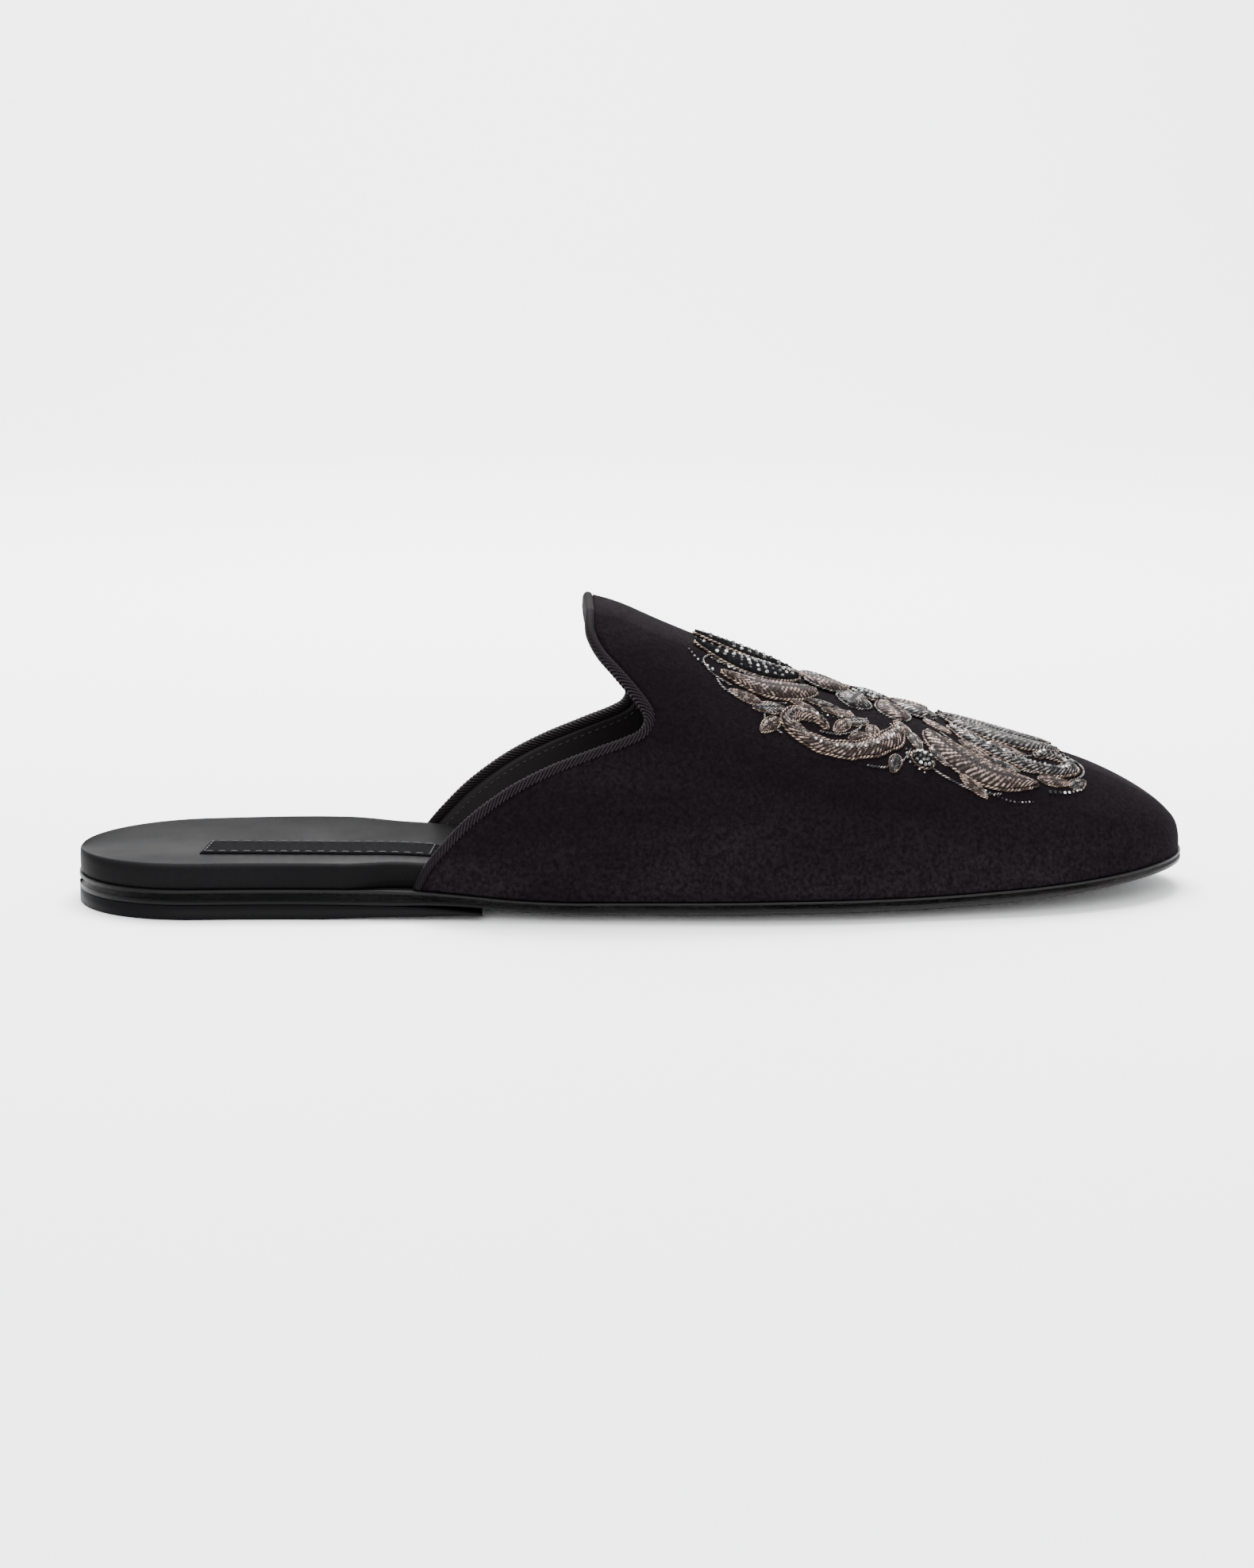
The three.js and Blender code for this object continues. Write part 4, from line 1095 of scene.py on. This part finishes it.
def stitched_pad(path, half, side, profile, vein, height=1.0, pitch=STITCH_PITCH):
    """Padded satin stitch: a parabolic crown over the path, ridged by threads across it.

    The ridge is the absolute cosine of the distance along, slanted by the distance
    across. With a vein the slant is the same on both sides, so the threads meet in a V.
    Gives the grid and a painted shade at each point: dark in the grooves, towards the
    pad's edges and along the vein.
    """
    places, ways, length = spray_path(path, side, int(path_length(path, side) / pitch * 6))
    k = np.linspace(0, 1, len(places))
    share = np.nan_to_num(profile(np.clip(k, 0, 1)))
    width = half * SPRAY_REACH * share
    crown = crown_height(share) * height
    c = np.sin(np.linspace(-1, 1, 15) * np.pi / 2)[None]
    slant = STITCH_SLANT * (np.abs(c) if vein else c * side)
    wave = np.abs(np.cos(np.pi * (k[:, None] * length / pitch + slant)))
    shoulder = (PAD_GAP + PAD_EDGE) * height * np.sqrt(1 - np.abs(c) ** 6)
    dip = VEIN_DIP * np.exp(-(c / 0.10) ** 2) if vein else 0
    lift = shoulder + crown[:, None] * (1 - c ** 2) - dip * share[:, None]
    lift = lift + STITCH_DEPTH * (wave - 0.6) * np.minimum(share[:, None] * 3, 1) * np.sqrt(1 - c ** 6)
    sideways = quarter_turned(ways)
    top = places[:, None] + sideways[:, None] * (width[:, None] * c)[..., None]
    low = places[:, None] + sideways[:, None] * (width[:, None] * np.array([[0.6, 0, -0.6]]))[..., None]
    grid = np.concatenate([on_vamp(top, lift)[0], on_vamp(low, PAD_BACKING)[0]], 1)
    # Painted shade: dark in the grooves, towards the pad's edges and, with a vein, along it
    shade = wave * (0.35 + 0.65 * np.sqrt(1 - np.abs(c) ** 8))
    if vein:
        shade = shade * (1 - 0.7 * np.exp(-(c / 0.08) ** 2))
    return grid, np.concatenate([shade, np.zeros(low.shape[:2])], 1)


def pad_outline(path, half, side, profile, gap):
    """Closed outline of a pad in the flat, a gap outside its edge."""
    places, ways, length = spray_path(path, side, 240)
    width = half * SPRAY_REACH * np.nan_to_num(profile(np.linspace(0, 1, 240)))[:, None] + gap
    sideways = quarter_turned(ways) * width
    return np.concatenate([places + sideways, (places - sideways)[::-1]])


def twisted_cord(flat, closed, radius=CORD_RADIUS, pitch=CORD_PITCH, lift=0.7):
    """Cord laid on the vamp: a round section with two strands that turn along it."""
    length = even_steps(flat, 2, closed)[2]
    count = max(int(length / pitch * 5), 12)
    places, ways, length = even_steps(flat, count, closed)
    centre, out = on_vamp(places, radius * lift)
    if closed:
        along = np.roll(centre, -1, 0) - np.roll(centre, 1, 0)
    else:
        along = np.gradient(centre, axis=0)
    side = unit(np.cross(unit(along), out))
    turn = np.linspace(0, 2 * np.pi, 8, endpoint=False)[None]
    turns_whole = max(round(length / pitch), 1)
    twist = 2 * np.pi * turns_whole * np.linspace(0, 1, count, endpoint=not closed)[:, None]
    wave = np.abs(np.cos(turn - twist / 2))
    size = radius * (0.72 + 0.36 * wave)
    if not closed:
        ends = np.minimum(np.linspace(0, 1, count), np.linspace(1, 0, count)) * length / radius
        size = size * np.sqrt(np.clip(ends, 0.02, 1))[:, None]
    ring = side[:, None] * np.cos(turn)[..., None] + out[:, None] * np.sin(turn)[..., None]
    # The wave is also given back as painted shade, dark between the strands
    return centre[:, None] + ring * size[..., None], wave, closed


def join_cords(name, cords):
    """One mesh of many cords: each is a tube, shut at its ends or running round."""
    points = []
    painted_shades = []
    faces = []
    first = 0
    for grid, painted_shade, closed in cords:
        count, sides = grid.shape[:2]
        numbers = first + np.arange(count * sides).reshape(count, sides)
        ring = np.hstack([numbers, numbers[:, :1]])
        if closed:
            ring = np.vstack([ring, ring[:1]])
        else:
            faces += [numbers[0].tolist(), numbers[-1][::-1].tolist()]
        quads = np.stack([ring[:-1, :-1], ring[1:, :-1], ring[1:, 1:], ring[:-1, 1:]], -1)
        faces += quads.reshape(-1, 4).tolist()
        points.append(grid.reshape(-1, 3))
        painted_shades.append(painted_shade.reshape(-1))
        first += count * sides
    return new_mesh(name, np.vstack(points), faces, np.concatenate(painted_shades))


def thread_group():
    """Metal thread: how lit a point is, from its depth in the groove, broken by noise.

    Coarse noise stands for the turn of each stitch to the light, and fine noise for the
    wire's glints. Puts out the share of light and a height for the bump.
    """
    group, source, out = new_group("metal thread", {"Vector": "Vector", "Depth": "Float"},
                                   {"Light": "Float", "Height": "Float"})
    coarse = noise(group, source.outputs["Vector"], Scale=620.0, Detail=2.0)
    fine = noise(group, source.outputs["Vector"], Scale=2400.0, Detail=2.0)
    groove = remap(group, source.outputs["Depth"], 0.52, 1.0, 0.0, 1.2)
    patch = remap(group, coarse, 0.43, 0.62, 0.08, 1.3)
    glint = remap(group, fine, 0.35, 0.65, 0.45, 1.1)
    group.links.new(times(group, times(group, groove, patch), glint), out.inputs["Light"])
    group.links.new(fine, out.inputs["Height"])
    return group


metal_thread = thread_group()


def metal_thread_material(name, dark, light, roughness, metallic, gloss=0.12):
    """Thread or beads shaded from dark grooves to lit crests."""
    material, tree, shader = new_material(name, roughness, gloss)
    depth = node(tree, "ShaderNodeAttribute", attribute_name="depth")
    thread = node(tree, "ShaderNodeGroup")
    thread.node_tree = metal_thread
    tree.links.new(coordinates(tree), thread.inputs["Vector"])
    tree.links.new(depth.outputs["Fac"], thread.inputs["Depth"])
    light_share = thread.outputs["Light"]
    tree.links.new(mix(tree, light_share, dark, light), shader.inputs["Base Color"])
    smoother = remap(tree, light_share, 0, 1, roughness + 0.2, roughness)
    tree.links.new(smoother, shader.inputs["Roughness"])
    shader.inputs["Metallic"].default_value = metallic
    bump(tree, shader, thread.outputs["Height"], 0.35, 0.0001)
    return material


rose_thread = metal_thread_material("dusty rose thread", ROSE_DARK, ROSE_LIGHT, 0.38, 0.35)
gold_cord = metal_thread_material("taupe gold cord", CORD_DARK, CORD_LIGHT, 0.36, 0.45)
silver_bead = metal_thread_material("silver beads", SILVER_DARK, BEAD_LIGHT, 0.18, 0.6, 0.5)
silver_thread = metal_thread_material("silver thread", SILVER_DARK, SILVER_LIGHT, 0.32, 0.5)
# The ground under the beads is near black: painted shade between the beads
bead_ground = metal_thread_material("near black ground under beads, painted shade", SILVER_DARK, GROUND_LIGHT, 0.7, 0, 0.01)

# How a motif is worked: its material, and the slot it belongs to
ROSE = (rose_thread, "rose_thread")
SILVER = (silver_thread, "silver_thread")
BEADED = (bead_ground, "silver_thread")
LEAF_FINISHES = {"leaf_toe": SILVER, "leaf_throat": BEADED}


def faceted_beads(name, flat, radius, lift, seed):
    """Cut beads on the vamp: three hexagonal rings each, flat above and below.

    Every bead keeps one brightness, drawn from a seeded choice, a painted reflection that
    leaves some beads dark and some bright, and a turn of its own.
    """
    count = len(flat)
    draw = np.random.default_rng(seed)
    centre, out = on_vamp(flat, lift)
    along = unit(np.cross(out, np.cross([1.0, 0, 0], out)))
    side = np.cross(out, along)
    turn = np.arange(6) * np.pi / 3 + draw.uniform(0, np.pi / 3, (count, 1))
    radius = np.broadcast_to(radius, (count,))[:, None, None, None]
    rings = []
    for size, height in ((0.62, -0.62), (1.0, 0.0), (0.62, 0.62)):
        ring = along[:, None] * np.cos(turn)[..., None] + side[:, None] * np.sin(turn)[..., None]
        rings.append(ring * size + out[:, None] * height)
    points = centre[:, None, None] + np.stack(rings, 1) * radius
    numbers = np.arange(count * 18).reshape(count, 3, 6)
    ring = np.concatenate([numbers, numbers[:, :, :1]], 2)
    quads = np.stack([ring[:, :-1, :-1], ring[:, :-1, 1:], ring[:, 1:, 1:], ring[:, 1:, :-1]], -1)
    caps = numbers[:, 2].tolist() + numbers[:, 0, ::-1].tolist()
    # Painted reflection: each bead's drawn brightness, dark to bright
    shade = np.repeat(draw.choice([0.35, 0.6, 0.9, 1.0], count), 18)
    return new_mesh(name, points, quads.reshape(-1, 4).tolist() + caps, shade, smooth=False)


def sew_beads(name, flat, radius, lift, seed):
    """Cut the beads and put them into the scene."""
    place(faceted_beads(name, flat, radius, lift, seed), [silver_bead], "silver_thread")


def bead_rows(name, path, half, side, profile, seed):
    """Beads sewn over a pad in rows along its path, each on the pad's parabolic crown.

    Rows that would pass the pad's edge stop short of it.
    """
    count = int(path_length(path, side) / (BEAD_RADIUS * 3.2))
    places, ways, length = spray_path(path, side, count)
    share = np.nan_to_num(profile(np.linspace(0, 1, len(places))))[:, None]
    width = half * SPRAY_REACH * share
    offset = np.arange(-4, 5)[None] * BEAD_ROW_PITCH
    kept = np.abs(offset) < width - BEAD_RADIUS
    flat = places[:, None] + quarter_turned(ways)[:, None] * offset[..., None]
    lift = PAD_GAP + PAD_EDGE + crown_height(share) * (1 - (offset / np.maximum(width, BEAD_RADIUS)) ** 2)
    sew_beads(name, flat[kept], BEAD_RADIUS, lift[kept], seed)


def place_pad(name, pad, finish, *nodes):
    """Put a stitched pad into the scene in its finish, in place of its nodes."""
    grid, shade = pad
    material, slot = finish
    place(shell(name, grid, wrap=True, painted_shade=shade), [material], slot, *nodes)


def lay_pad(name, path, half, side, profile, finish):
    """Build a veined pad in place of its solid, and give the outline its cord follows."""
    place_pad(name + "_satin", stitched_pad(path, half, side, profile, True), finish, name)
    return pad_outline(path, half, side, profile, CORD_RADIUS * 1.3)


leaf_outlines = [lay_pad("bud", BUD[1], BUD[0], 1, leaf_profile, BEADED)]
bead_rows("bud_beads", BUD[1], BUD[0], 1, leaf_profile, BUD_SEED)
for suffix, side in SIDES:
    for name, (half, path) in LEAVES.items():
        solid = f"{name}_{suffix}"
        finish = LEAF_FINISHES.get(name, ROSE)
        leaf_outlines.append(lay_pad(solid, path, half, side, leaf_profile, finish))
        if finish is BEADED:
            bead_rows(solid + "_beads", path, half, side, leaf_profile, LEAF_SEED + side)
leaf_cords = [twisted_cord(flat, True) for flat in leaf_outlines]
place(join_cords("leaf_cords", leaf_cords), [gold_cord], "rose_thread")

# Embroidered petals and centre
# Eight petals, rose and silver by turns, round a boss of silver beads, each bead sewn
# down by its own stitch. A fine silver cord edges the petals.
PETALS = 8
PETAL_HALF = 0.082
PETAL_START = 0.124
PETAL_END = 0.372
CENTRE_HALF = 0.100
CENTRE_SEED = 1


def petal_profile(k):
    """Width of a petal: narrow by the centre, full past the middle."""
    return np.sin(np.pi * k ** 1.3) ** 0.7


def round_profile(k):
    """Half circle, for a round pad."""
    return 2 * np.sqrt(np.clip(k * (1 - k), 0, 1))


petal_outlines = []
for index in range(PETALS):
    turn = (index + 0.5) * 2 * np.pi / PETALS
    way = heading(turn)
    petal = [way * PETAL_START, way * (PETAL_START + PETAL_END) / 2, way * PETAL_END]
    finish = SILVER if index % 2 else ROSE
    petal_outlines.append(lay_pad(f"petal_{index + 1}", petal, PETAL_HALF, 1, petal_profile, finish))
petal_cords = [twisted_cord(flat, True, CORD_RADIUS * 0.8, CORD_PITCH * 0.8) for flat in petal_outlines]
place(join_cords("petal_cords", petal_cords), [silver_thread], "silver_thread")


def boss(name, along, across, half, seed):
    """A round pad under beads in rings: one, six, twelve and so on, from the middle out."""
    path = [(along - half, across), (along, across), (along + half, across)]
    place_pad(name + "_ground", stitched_pad(path, half, 1, round_profile, False), BEADED, name)
    reach = half * SPRAY_REACH
    spot = np.array([along, across]) * SPRAY_REACH
    rings = int(reach / (BEAD_RADIUS * 2))
    flat = [np.array([[0.0, 0.0]])]
    for ring in range(1, rings + 1):
        turn = np.arange(6 * ring) * 2 * np.pi / (6 * ring) + ring * 0.3
        flat.append(heading(turn) * ring * BEAD_RADIUS * 2)
    flat = np.vstack(flat)
    away = np.linalg.norm(flat, axis=-1) / reach
    flat = flat[away < 0.92]
    away = away[away < 0.92]
    lift = (PAD_GAP + PAD_EDGE) + (PAD_HEIGHT - PAD_EDGE) * (1 - away ** 2)
    sew_beads(name + "_beads", flat + spot, BEAD_RADIUS, lift, seed)
    turn = np.linspace(0, 2 * np.pi, 80, endpoint=False)
    return heading(turn) * (reach + CORD_RADIUS * 0.6) + spot


rims = [boss("flower_centre", 0, 0, CENTRE_HALF, CENTRE_SEED)]

# Embroidered tendrils and berries
# Curled stems of bullion, a fine coiled wire over cord: silver at the toe, rose on the
# flank, edged with taupe cord and lined with beads. A beaded berry sits by each pair.
BERRY_HALF = 0.054
BERRY_ALONG = 0.200
BERRY_ACROSS = 0.665
BULLION_PITCH = 0.00125
BULLION_HEIGHT = 0.85
TENDRIL_SEED = 20
BERRY_SEED = 40
TENDRILS = {
    "tendril_toe": (0.040, [(0.40, 0.225), (0.50, 0.345), (0.64, 0.430), (0.80, 0.465), (0.95, 0.430),
                            (1.02, 0.340), (0.965, 0.265), (0.87, 0.285), (0.85, 0.345)]),
    "tendril_flank": (0.044, [(0.11, 0.440), (0.04, 0.580), (-0.09, 0.690), (-0.25, 0.750), (-0.40, 0.735),
                              (-0.48, 0.660), (-0.44, 0.580), (-0.335, 0.570), (-0.290, 0.625)]),
}


def tendril_profile(k):
    """Width of a tendril: blunt at both ends and slimmer towards its curl."""
    return np.minimum(1, 3.2 * np.sqrt(np.clip(k * (1 - k), 0, 1))) * (1.15 - 0.45 * k)


def puffed_profile(k):
    """The tendril's width, swelling and narrowing by a cosine as the padding is drawn in."""
    return tendril_profile(k) * (0.98 + 0.09 * np.cos(2 * np.pi * 7 * k))


tendril_cords = []
for number, (suffix, side) in enumerate(SIDES):
    for name, (half, path) in TENDRILS.items():
        solid = f"{name}_{suffix}"
        finish = ROSE if name == "tendril_flank" else SILVER
        pad = stitched_pad(path, half, side, puffed_profile, False, BULLION_HEIGHT, BULLION_PITCH)
        place_pad(solid + "_bullion", pad, finish, solid)
        edge = pad_outline(path, half, side, puffed_profile, CORD_RADIUS * 1.2)
        tendril_cords.append(twisted_cord(edge, True))
        line = spray_path(path, side, int(path_length(path, side) / (BEAD_RADIUS * 2.3)))[0]
        lift = PAD_HEIGHT + 0.0002
        sew_beads(solid + "_beads", line[1:-1], BEAD_RADIUS * 0.85, lift, TENDRIL_SEED + number)
    berry = f"berry_flank_{suffix}"
    rims.append(boss(berry, BERRY_ALONG, BERRY_ACROSS * side, BERRY_HALF, BERRY_SEED + number))
tendril_cords += [twisted_cord(rim, True) for rim in rims]
place(join_cords("tendril_cords", tendril_cords), [gold_cord], "rose_thread")

# Embroidered sprigs
# Low stitching that fills the ground between the padded motifs: small flat leaves,
# curls of cord and lines of beads, all worked straight into the velvet.
LEAFLET_HEIGHT = 0.40
LEAFLET_CORD = 0.00024
LEAFLET_PITCH = 0.00110
SPRIG_SEED = 60

# along, across: middle of the leaf in shares of the reach. turn: degrees. long, half:
# its length and half width in shares of the reach.
LEAFLETS = np.rec.fromrecords([
    (-0.130, 0.500, 150, 0.17, 0.030),
    (-0.215, 0.455, 165, 0.17, 0.028),
    (-0.205, 0.570, 125, 0.15, 0.028),
    (-0.580, 0.600, 160, 0.18, 0.034),
    (-0.700, 0.570, 190, 0.16, 0.030),
    (-0.585, 0.715, 130, 0.15, 0.030),
    (0.180, 0.530, 75, 0.15, 0.028),
    (0.330, 0.285, 40, 0.16, 0.030),
    (-0.045, 0.560, 100, 0.15, 0.030),
    (-0.300, 0.420, 175, 0.15, 0.026),
    (0.130, 0.430, 60, 0.14, 0.028),
    (-0.400, 0.500, 200, 0.15, 0.026),
    (0.290, 0.600, 60, 0.13, 0.026),
    (-0.130, 0.620, 140, 0.12, 0.024),
    (0.505, 0.460, 40, 0.20, 0.030),
    (0.640, 0.525, 15, 0.16, 0.026),
    (0.690, 0.330, 15, 0.20, 0.030),
    (0.900, 0.540, -15, 0.18, 0.034),
    (1.030, 0.500, -50, 0.14, 0.028),
    (-0.385, 0.045, 180, 0.12, 0.024),
    (0.455, 0.750, 40, 0.16, 0.030),
    (0.050, 0.740, 110, 0.13, 0.026),
], names="along,across,turn,long,half")

# Curls of cord: their paths, along and across, in shares of the reach
CURLS = [
    [(-0.060, 0.430), (-0.120, 0.560), (-0.220, 0.640), (-0.330, 0.660)],
    [(-0.250, 0.400), (-0.180, 0.420), (-0.110, 0.460)],
    [(-0.480, 0.520), (-0.560, 0.560), (-0.680, 0.590), (-0.800, 0.560), (-0.840, 0.500)],
    [(0.380, 0.030), (0.560, 0.045), (0.760, 0.050), (0.960, 0.020)],
    [(0.330, 0.360), (0.430, 0.470), (0.560, 0.530), (0.720, 0.530), (0.880, 0.500)],
    [(0.560, 0.290), (0.660, 0.350), (0.760, 0.370), (0.820, 0.330)],
    [(-0.340, 0.240), (-0.460, 0.330), (-0.640, 0.370), (-0.860, 0.330)],
    [(0.060, 0.420), (0.140, 0.500), (0.240, 0.520), (0.280, 0.440)],
    [(-0.860, 0.300), (-0.900, 0.380), (-0.860, 0.470), (-0.760, 0.520)],
    [(0.200, 0.600), (0.240, 0.700), (0.360, 0.760), (0.500, 0.780), (0.600, 0.750)],
    [(0.150, 0.600), (0.100, 0.700), (0.000, 0.780), (-0.100, 0.800)],
    [(-0.520, 0.750), (-0.600, 0.700), (-0.600, 0.640), (-0.540, 0.610)],
    [(0.930, 0.200), (1.030, 0.200), (1.090, 0.280), (1.080, 0.380), (1.030, 0.460)],
]

# Lines of beads, the same way, with the size of the first and the last bead
BEAD_LINES = [
    (1.0, 0.5, [(0.410, 0), (0.600, 0), (0.800, 0), (0.980, 0)]),
    (0.9, 0.5, [(-0.440, 0.105), (-0.600, 0.155), (-0.760, 0.165), (-0.920, 0.130)]),
    (0.9, 0.6, [(-0.420, 0.310), (-0.540, 0.360), (-0.680, 0.375), (-0.820, 0.350)]),
    (0.8, 0.5, [(-0.150, 0.420), (-0.220, 0.510), (-0.300, 0.510)]),
    (0.9, 0.6, [(0.480, 0.250), (0.600, 0.320), (0.740, 0.400), (0.880, 0.380)]),
    (1.0, 0.5, [(0.860, 0.640), (0.960, 0.600), (1.040, 0.540)]),
    (0.9, 0.5, [(-0.860, 0.440), (-0.930, 0.390), (-0.970, 0.320)]),
    (0.8, 0.5, [(0.120, 0.620), (0.130, 0.700), (0.200, 0.750)]),
    (0.8, 0.4, [(0.350, 0.660), (0.480, 0.750), (0.640, 0.780), (0.760, 0.740)]),
]

for suffix, side in SIDES:
    edges = []
    for number, row in enumerate(LEAFLETS):
        way = heading(np.radians(row.turn)) * row.long / 2
        middle_point = np.array([row.along, row.across])
        path = [middle_point - way, middle_point, middle_point + way]
        pad = stitched_pad(path, row.half, side, leaf_profile, True, LEAFLET_HEIGHT, LEAFLET_PITCH)
        material = rose_thread if number % 3 else silver_thread
        place_pad(f"leaflet_{number + 1}_{suffix}", pad, (material, "rose_thread"))
        edge = pad_outline(path, row.half, side, leaf_profile, LEAFLET_CORD)
        edges.append(twisted_cord(edge, True, LEAFLET_CORD, CORD_PITCH * 0.7))
    place(join_cords(f"leaflet_cords_{suffix}", edges), [gold_cord], "rose_thread")
    curls = [spray_path(path, side, 200)[0] for path in CURLS]
    cords = [twisted_cord(flat, False, CORD_RADIUS * 0.75, CORD_PITCH * 0.8) for flat in curls]
    place(join_cords(f"curls_{suffix}", cords), [silver_thread], "silver_thread")
    lines = []
    sizes = []
    for first, final, path in BEAD_LINES:
        if path[0][1] == 0 and side > 0:
            continue
        count = int(path_length(path, side) / (BEAD_RADIUS * (first + final) * 1.5))
        lines.append(spray_path(path, side, count)[0])
        sizes.append(BEAD_RADIUS * np.linspace(first, final, count))
    sizes = np.concatenate(sizes)
    sew_beads(f"sprig_beads_{suffix}", np.vstack(lines), sizes, sizes * 0.7, SPRIG_SEED + side)

# Floor, light and camera
# A pale sweep of paper curves up behind the shoe. One broad soft light stands above and
# a little behind it, a weak one fills the front and a third lights the wall.
SWEEP_WIDTH = 14.0
SWEEP_FRONT = 9.0
SWEEP_BACK = 2.2
SWEEP_RADIUS = 2.2
SWEEP_TOP = 4.0
CAMERA_AZIMUTH = np.radians(-3.5)
CAMERA_ELEVATION = np.radians(9.4)
CAMERA_DISTANCE = 0.780
CAMERA_LOOK = np.array([0.1424, 0, 0.0286]) + TO_FRAME
FOCAL_LENGTH_PIXELS = 3762.5
PICTURE_HEIGHT_PIXELS = 1975
SENSOR = 36.0
PAPER = (0.97, 0.97, 0.97, 1)
SKY = (0.95, 0.97, 1, 1)
SKY_STRENGTH = 1.38


def sweep():
    """Flat floor, a quarter turn and a wall, carried along X."""
    turn = np.linspace(0, np.pi / 2, 24)
    wall = SWEEP_BACK + SWEEP_RADIUS
    y = np.concatenate([[-SWEEP_FRONT], SWEEP_BACK + SWEEP_RADIUS * np.sin(turn), [wall]])
    z = np.concatenate([[0], SWEEP_RADIUS * (1 - np.cos(turn)), [SWEEP_TOP]])
    x = np.linspace(-SWEEP_WIDTH / 2, SWEEP_WIDTH / 2, 9)[:, None]
    return spread_out(x, y, z) - TO_FRAME


paper, _, paper_shader = new_material("pale paper", 0.9, 0.5)
paper_shader.inputs["Base Color"].default_value = PAPER
floor_mesh = shell("floor", sweep())
floor_mesh.materials.append(paper)
floor = bpy.data.objects.new("floor", floor_mesh)
bpy.context.scene.collection.objects.link(floor)


def put(name, data, turned, at):
    """Stand a light or a camera at a place: turned holds its right, up and back as columns."""
    thing = bpy.data.objects.new(name, data)
    thing.matrix_world = Matrix([(*row, part) for row, part in zip(turned, at)] + [(0, 0, 0, 1)])
    bpy.context.scene.collection.objects.link(thing)
    return thing


def soft_light(name, at, target, size, power):
    """A square area light aimed at a point."""
    light = bpy.data.lights.new(name, "AREA")
    light.size = size
    light.energy = power
    back = unit(np.array(at, float) - np.array(target, float))
    right = unit(np.cross([0.001, 1, 0], back))
    put(name, light, np.stack([right, np.cross(back, right), back], 1), at)


soft_light("overhead", (0.0, 0.5, 1.35), (0, -0.1, 0), 1.0, 66)
soft_light("front fill", (-0.2, -1.6, 0.7), (0, -0.2, 0.02), 1.4, 40)
soft_light("backdrop", (0.0, 1.6, 2.6), (0, 4.2, 0.4), 2.4, 310)
world = bpy.data.worlds.new("studio")
world.use_nodes = True
sky = world.node_tree.nodes["Background"]
sky.inputs["Color"].default_value = SKY
sky.inputs["Strength"].default_value = SKY_STRENGTH
bpy.context.scene.world = world

right = np.array([np.cos(CAMERA_AZIMUTH), np.sin(CAMERA_AZIMUTH), 0])
toward = np.array([np.sin(CAMERA_AZIMUTH) * np.cos(CAMERA_ELEVATION),
                   -np.cos(CAMERA_AZIMUTH) * np.cos(CAMERA_ELEVATION), np.sin(CAMERA_ELEVATION)])
stand = CAMERA_LOOK + toward * CAMERA_DISTANCE
lens = bpy.data.cameras.new("camera")
lens.sensor_fit = "VERTICAL"
lens.sensor_height = SENSOR
lens.lens = FOCAL_LENGTH_PIXELS * SENSOR / PICTURE_HEIGHT_PIXELS
turned = np.stack([right, np.cross(toward, right), toward], 1)
bpy.context.scene.camera = put("camera", lens, turned, stand)
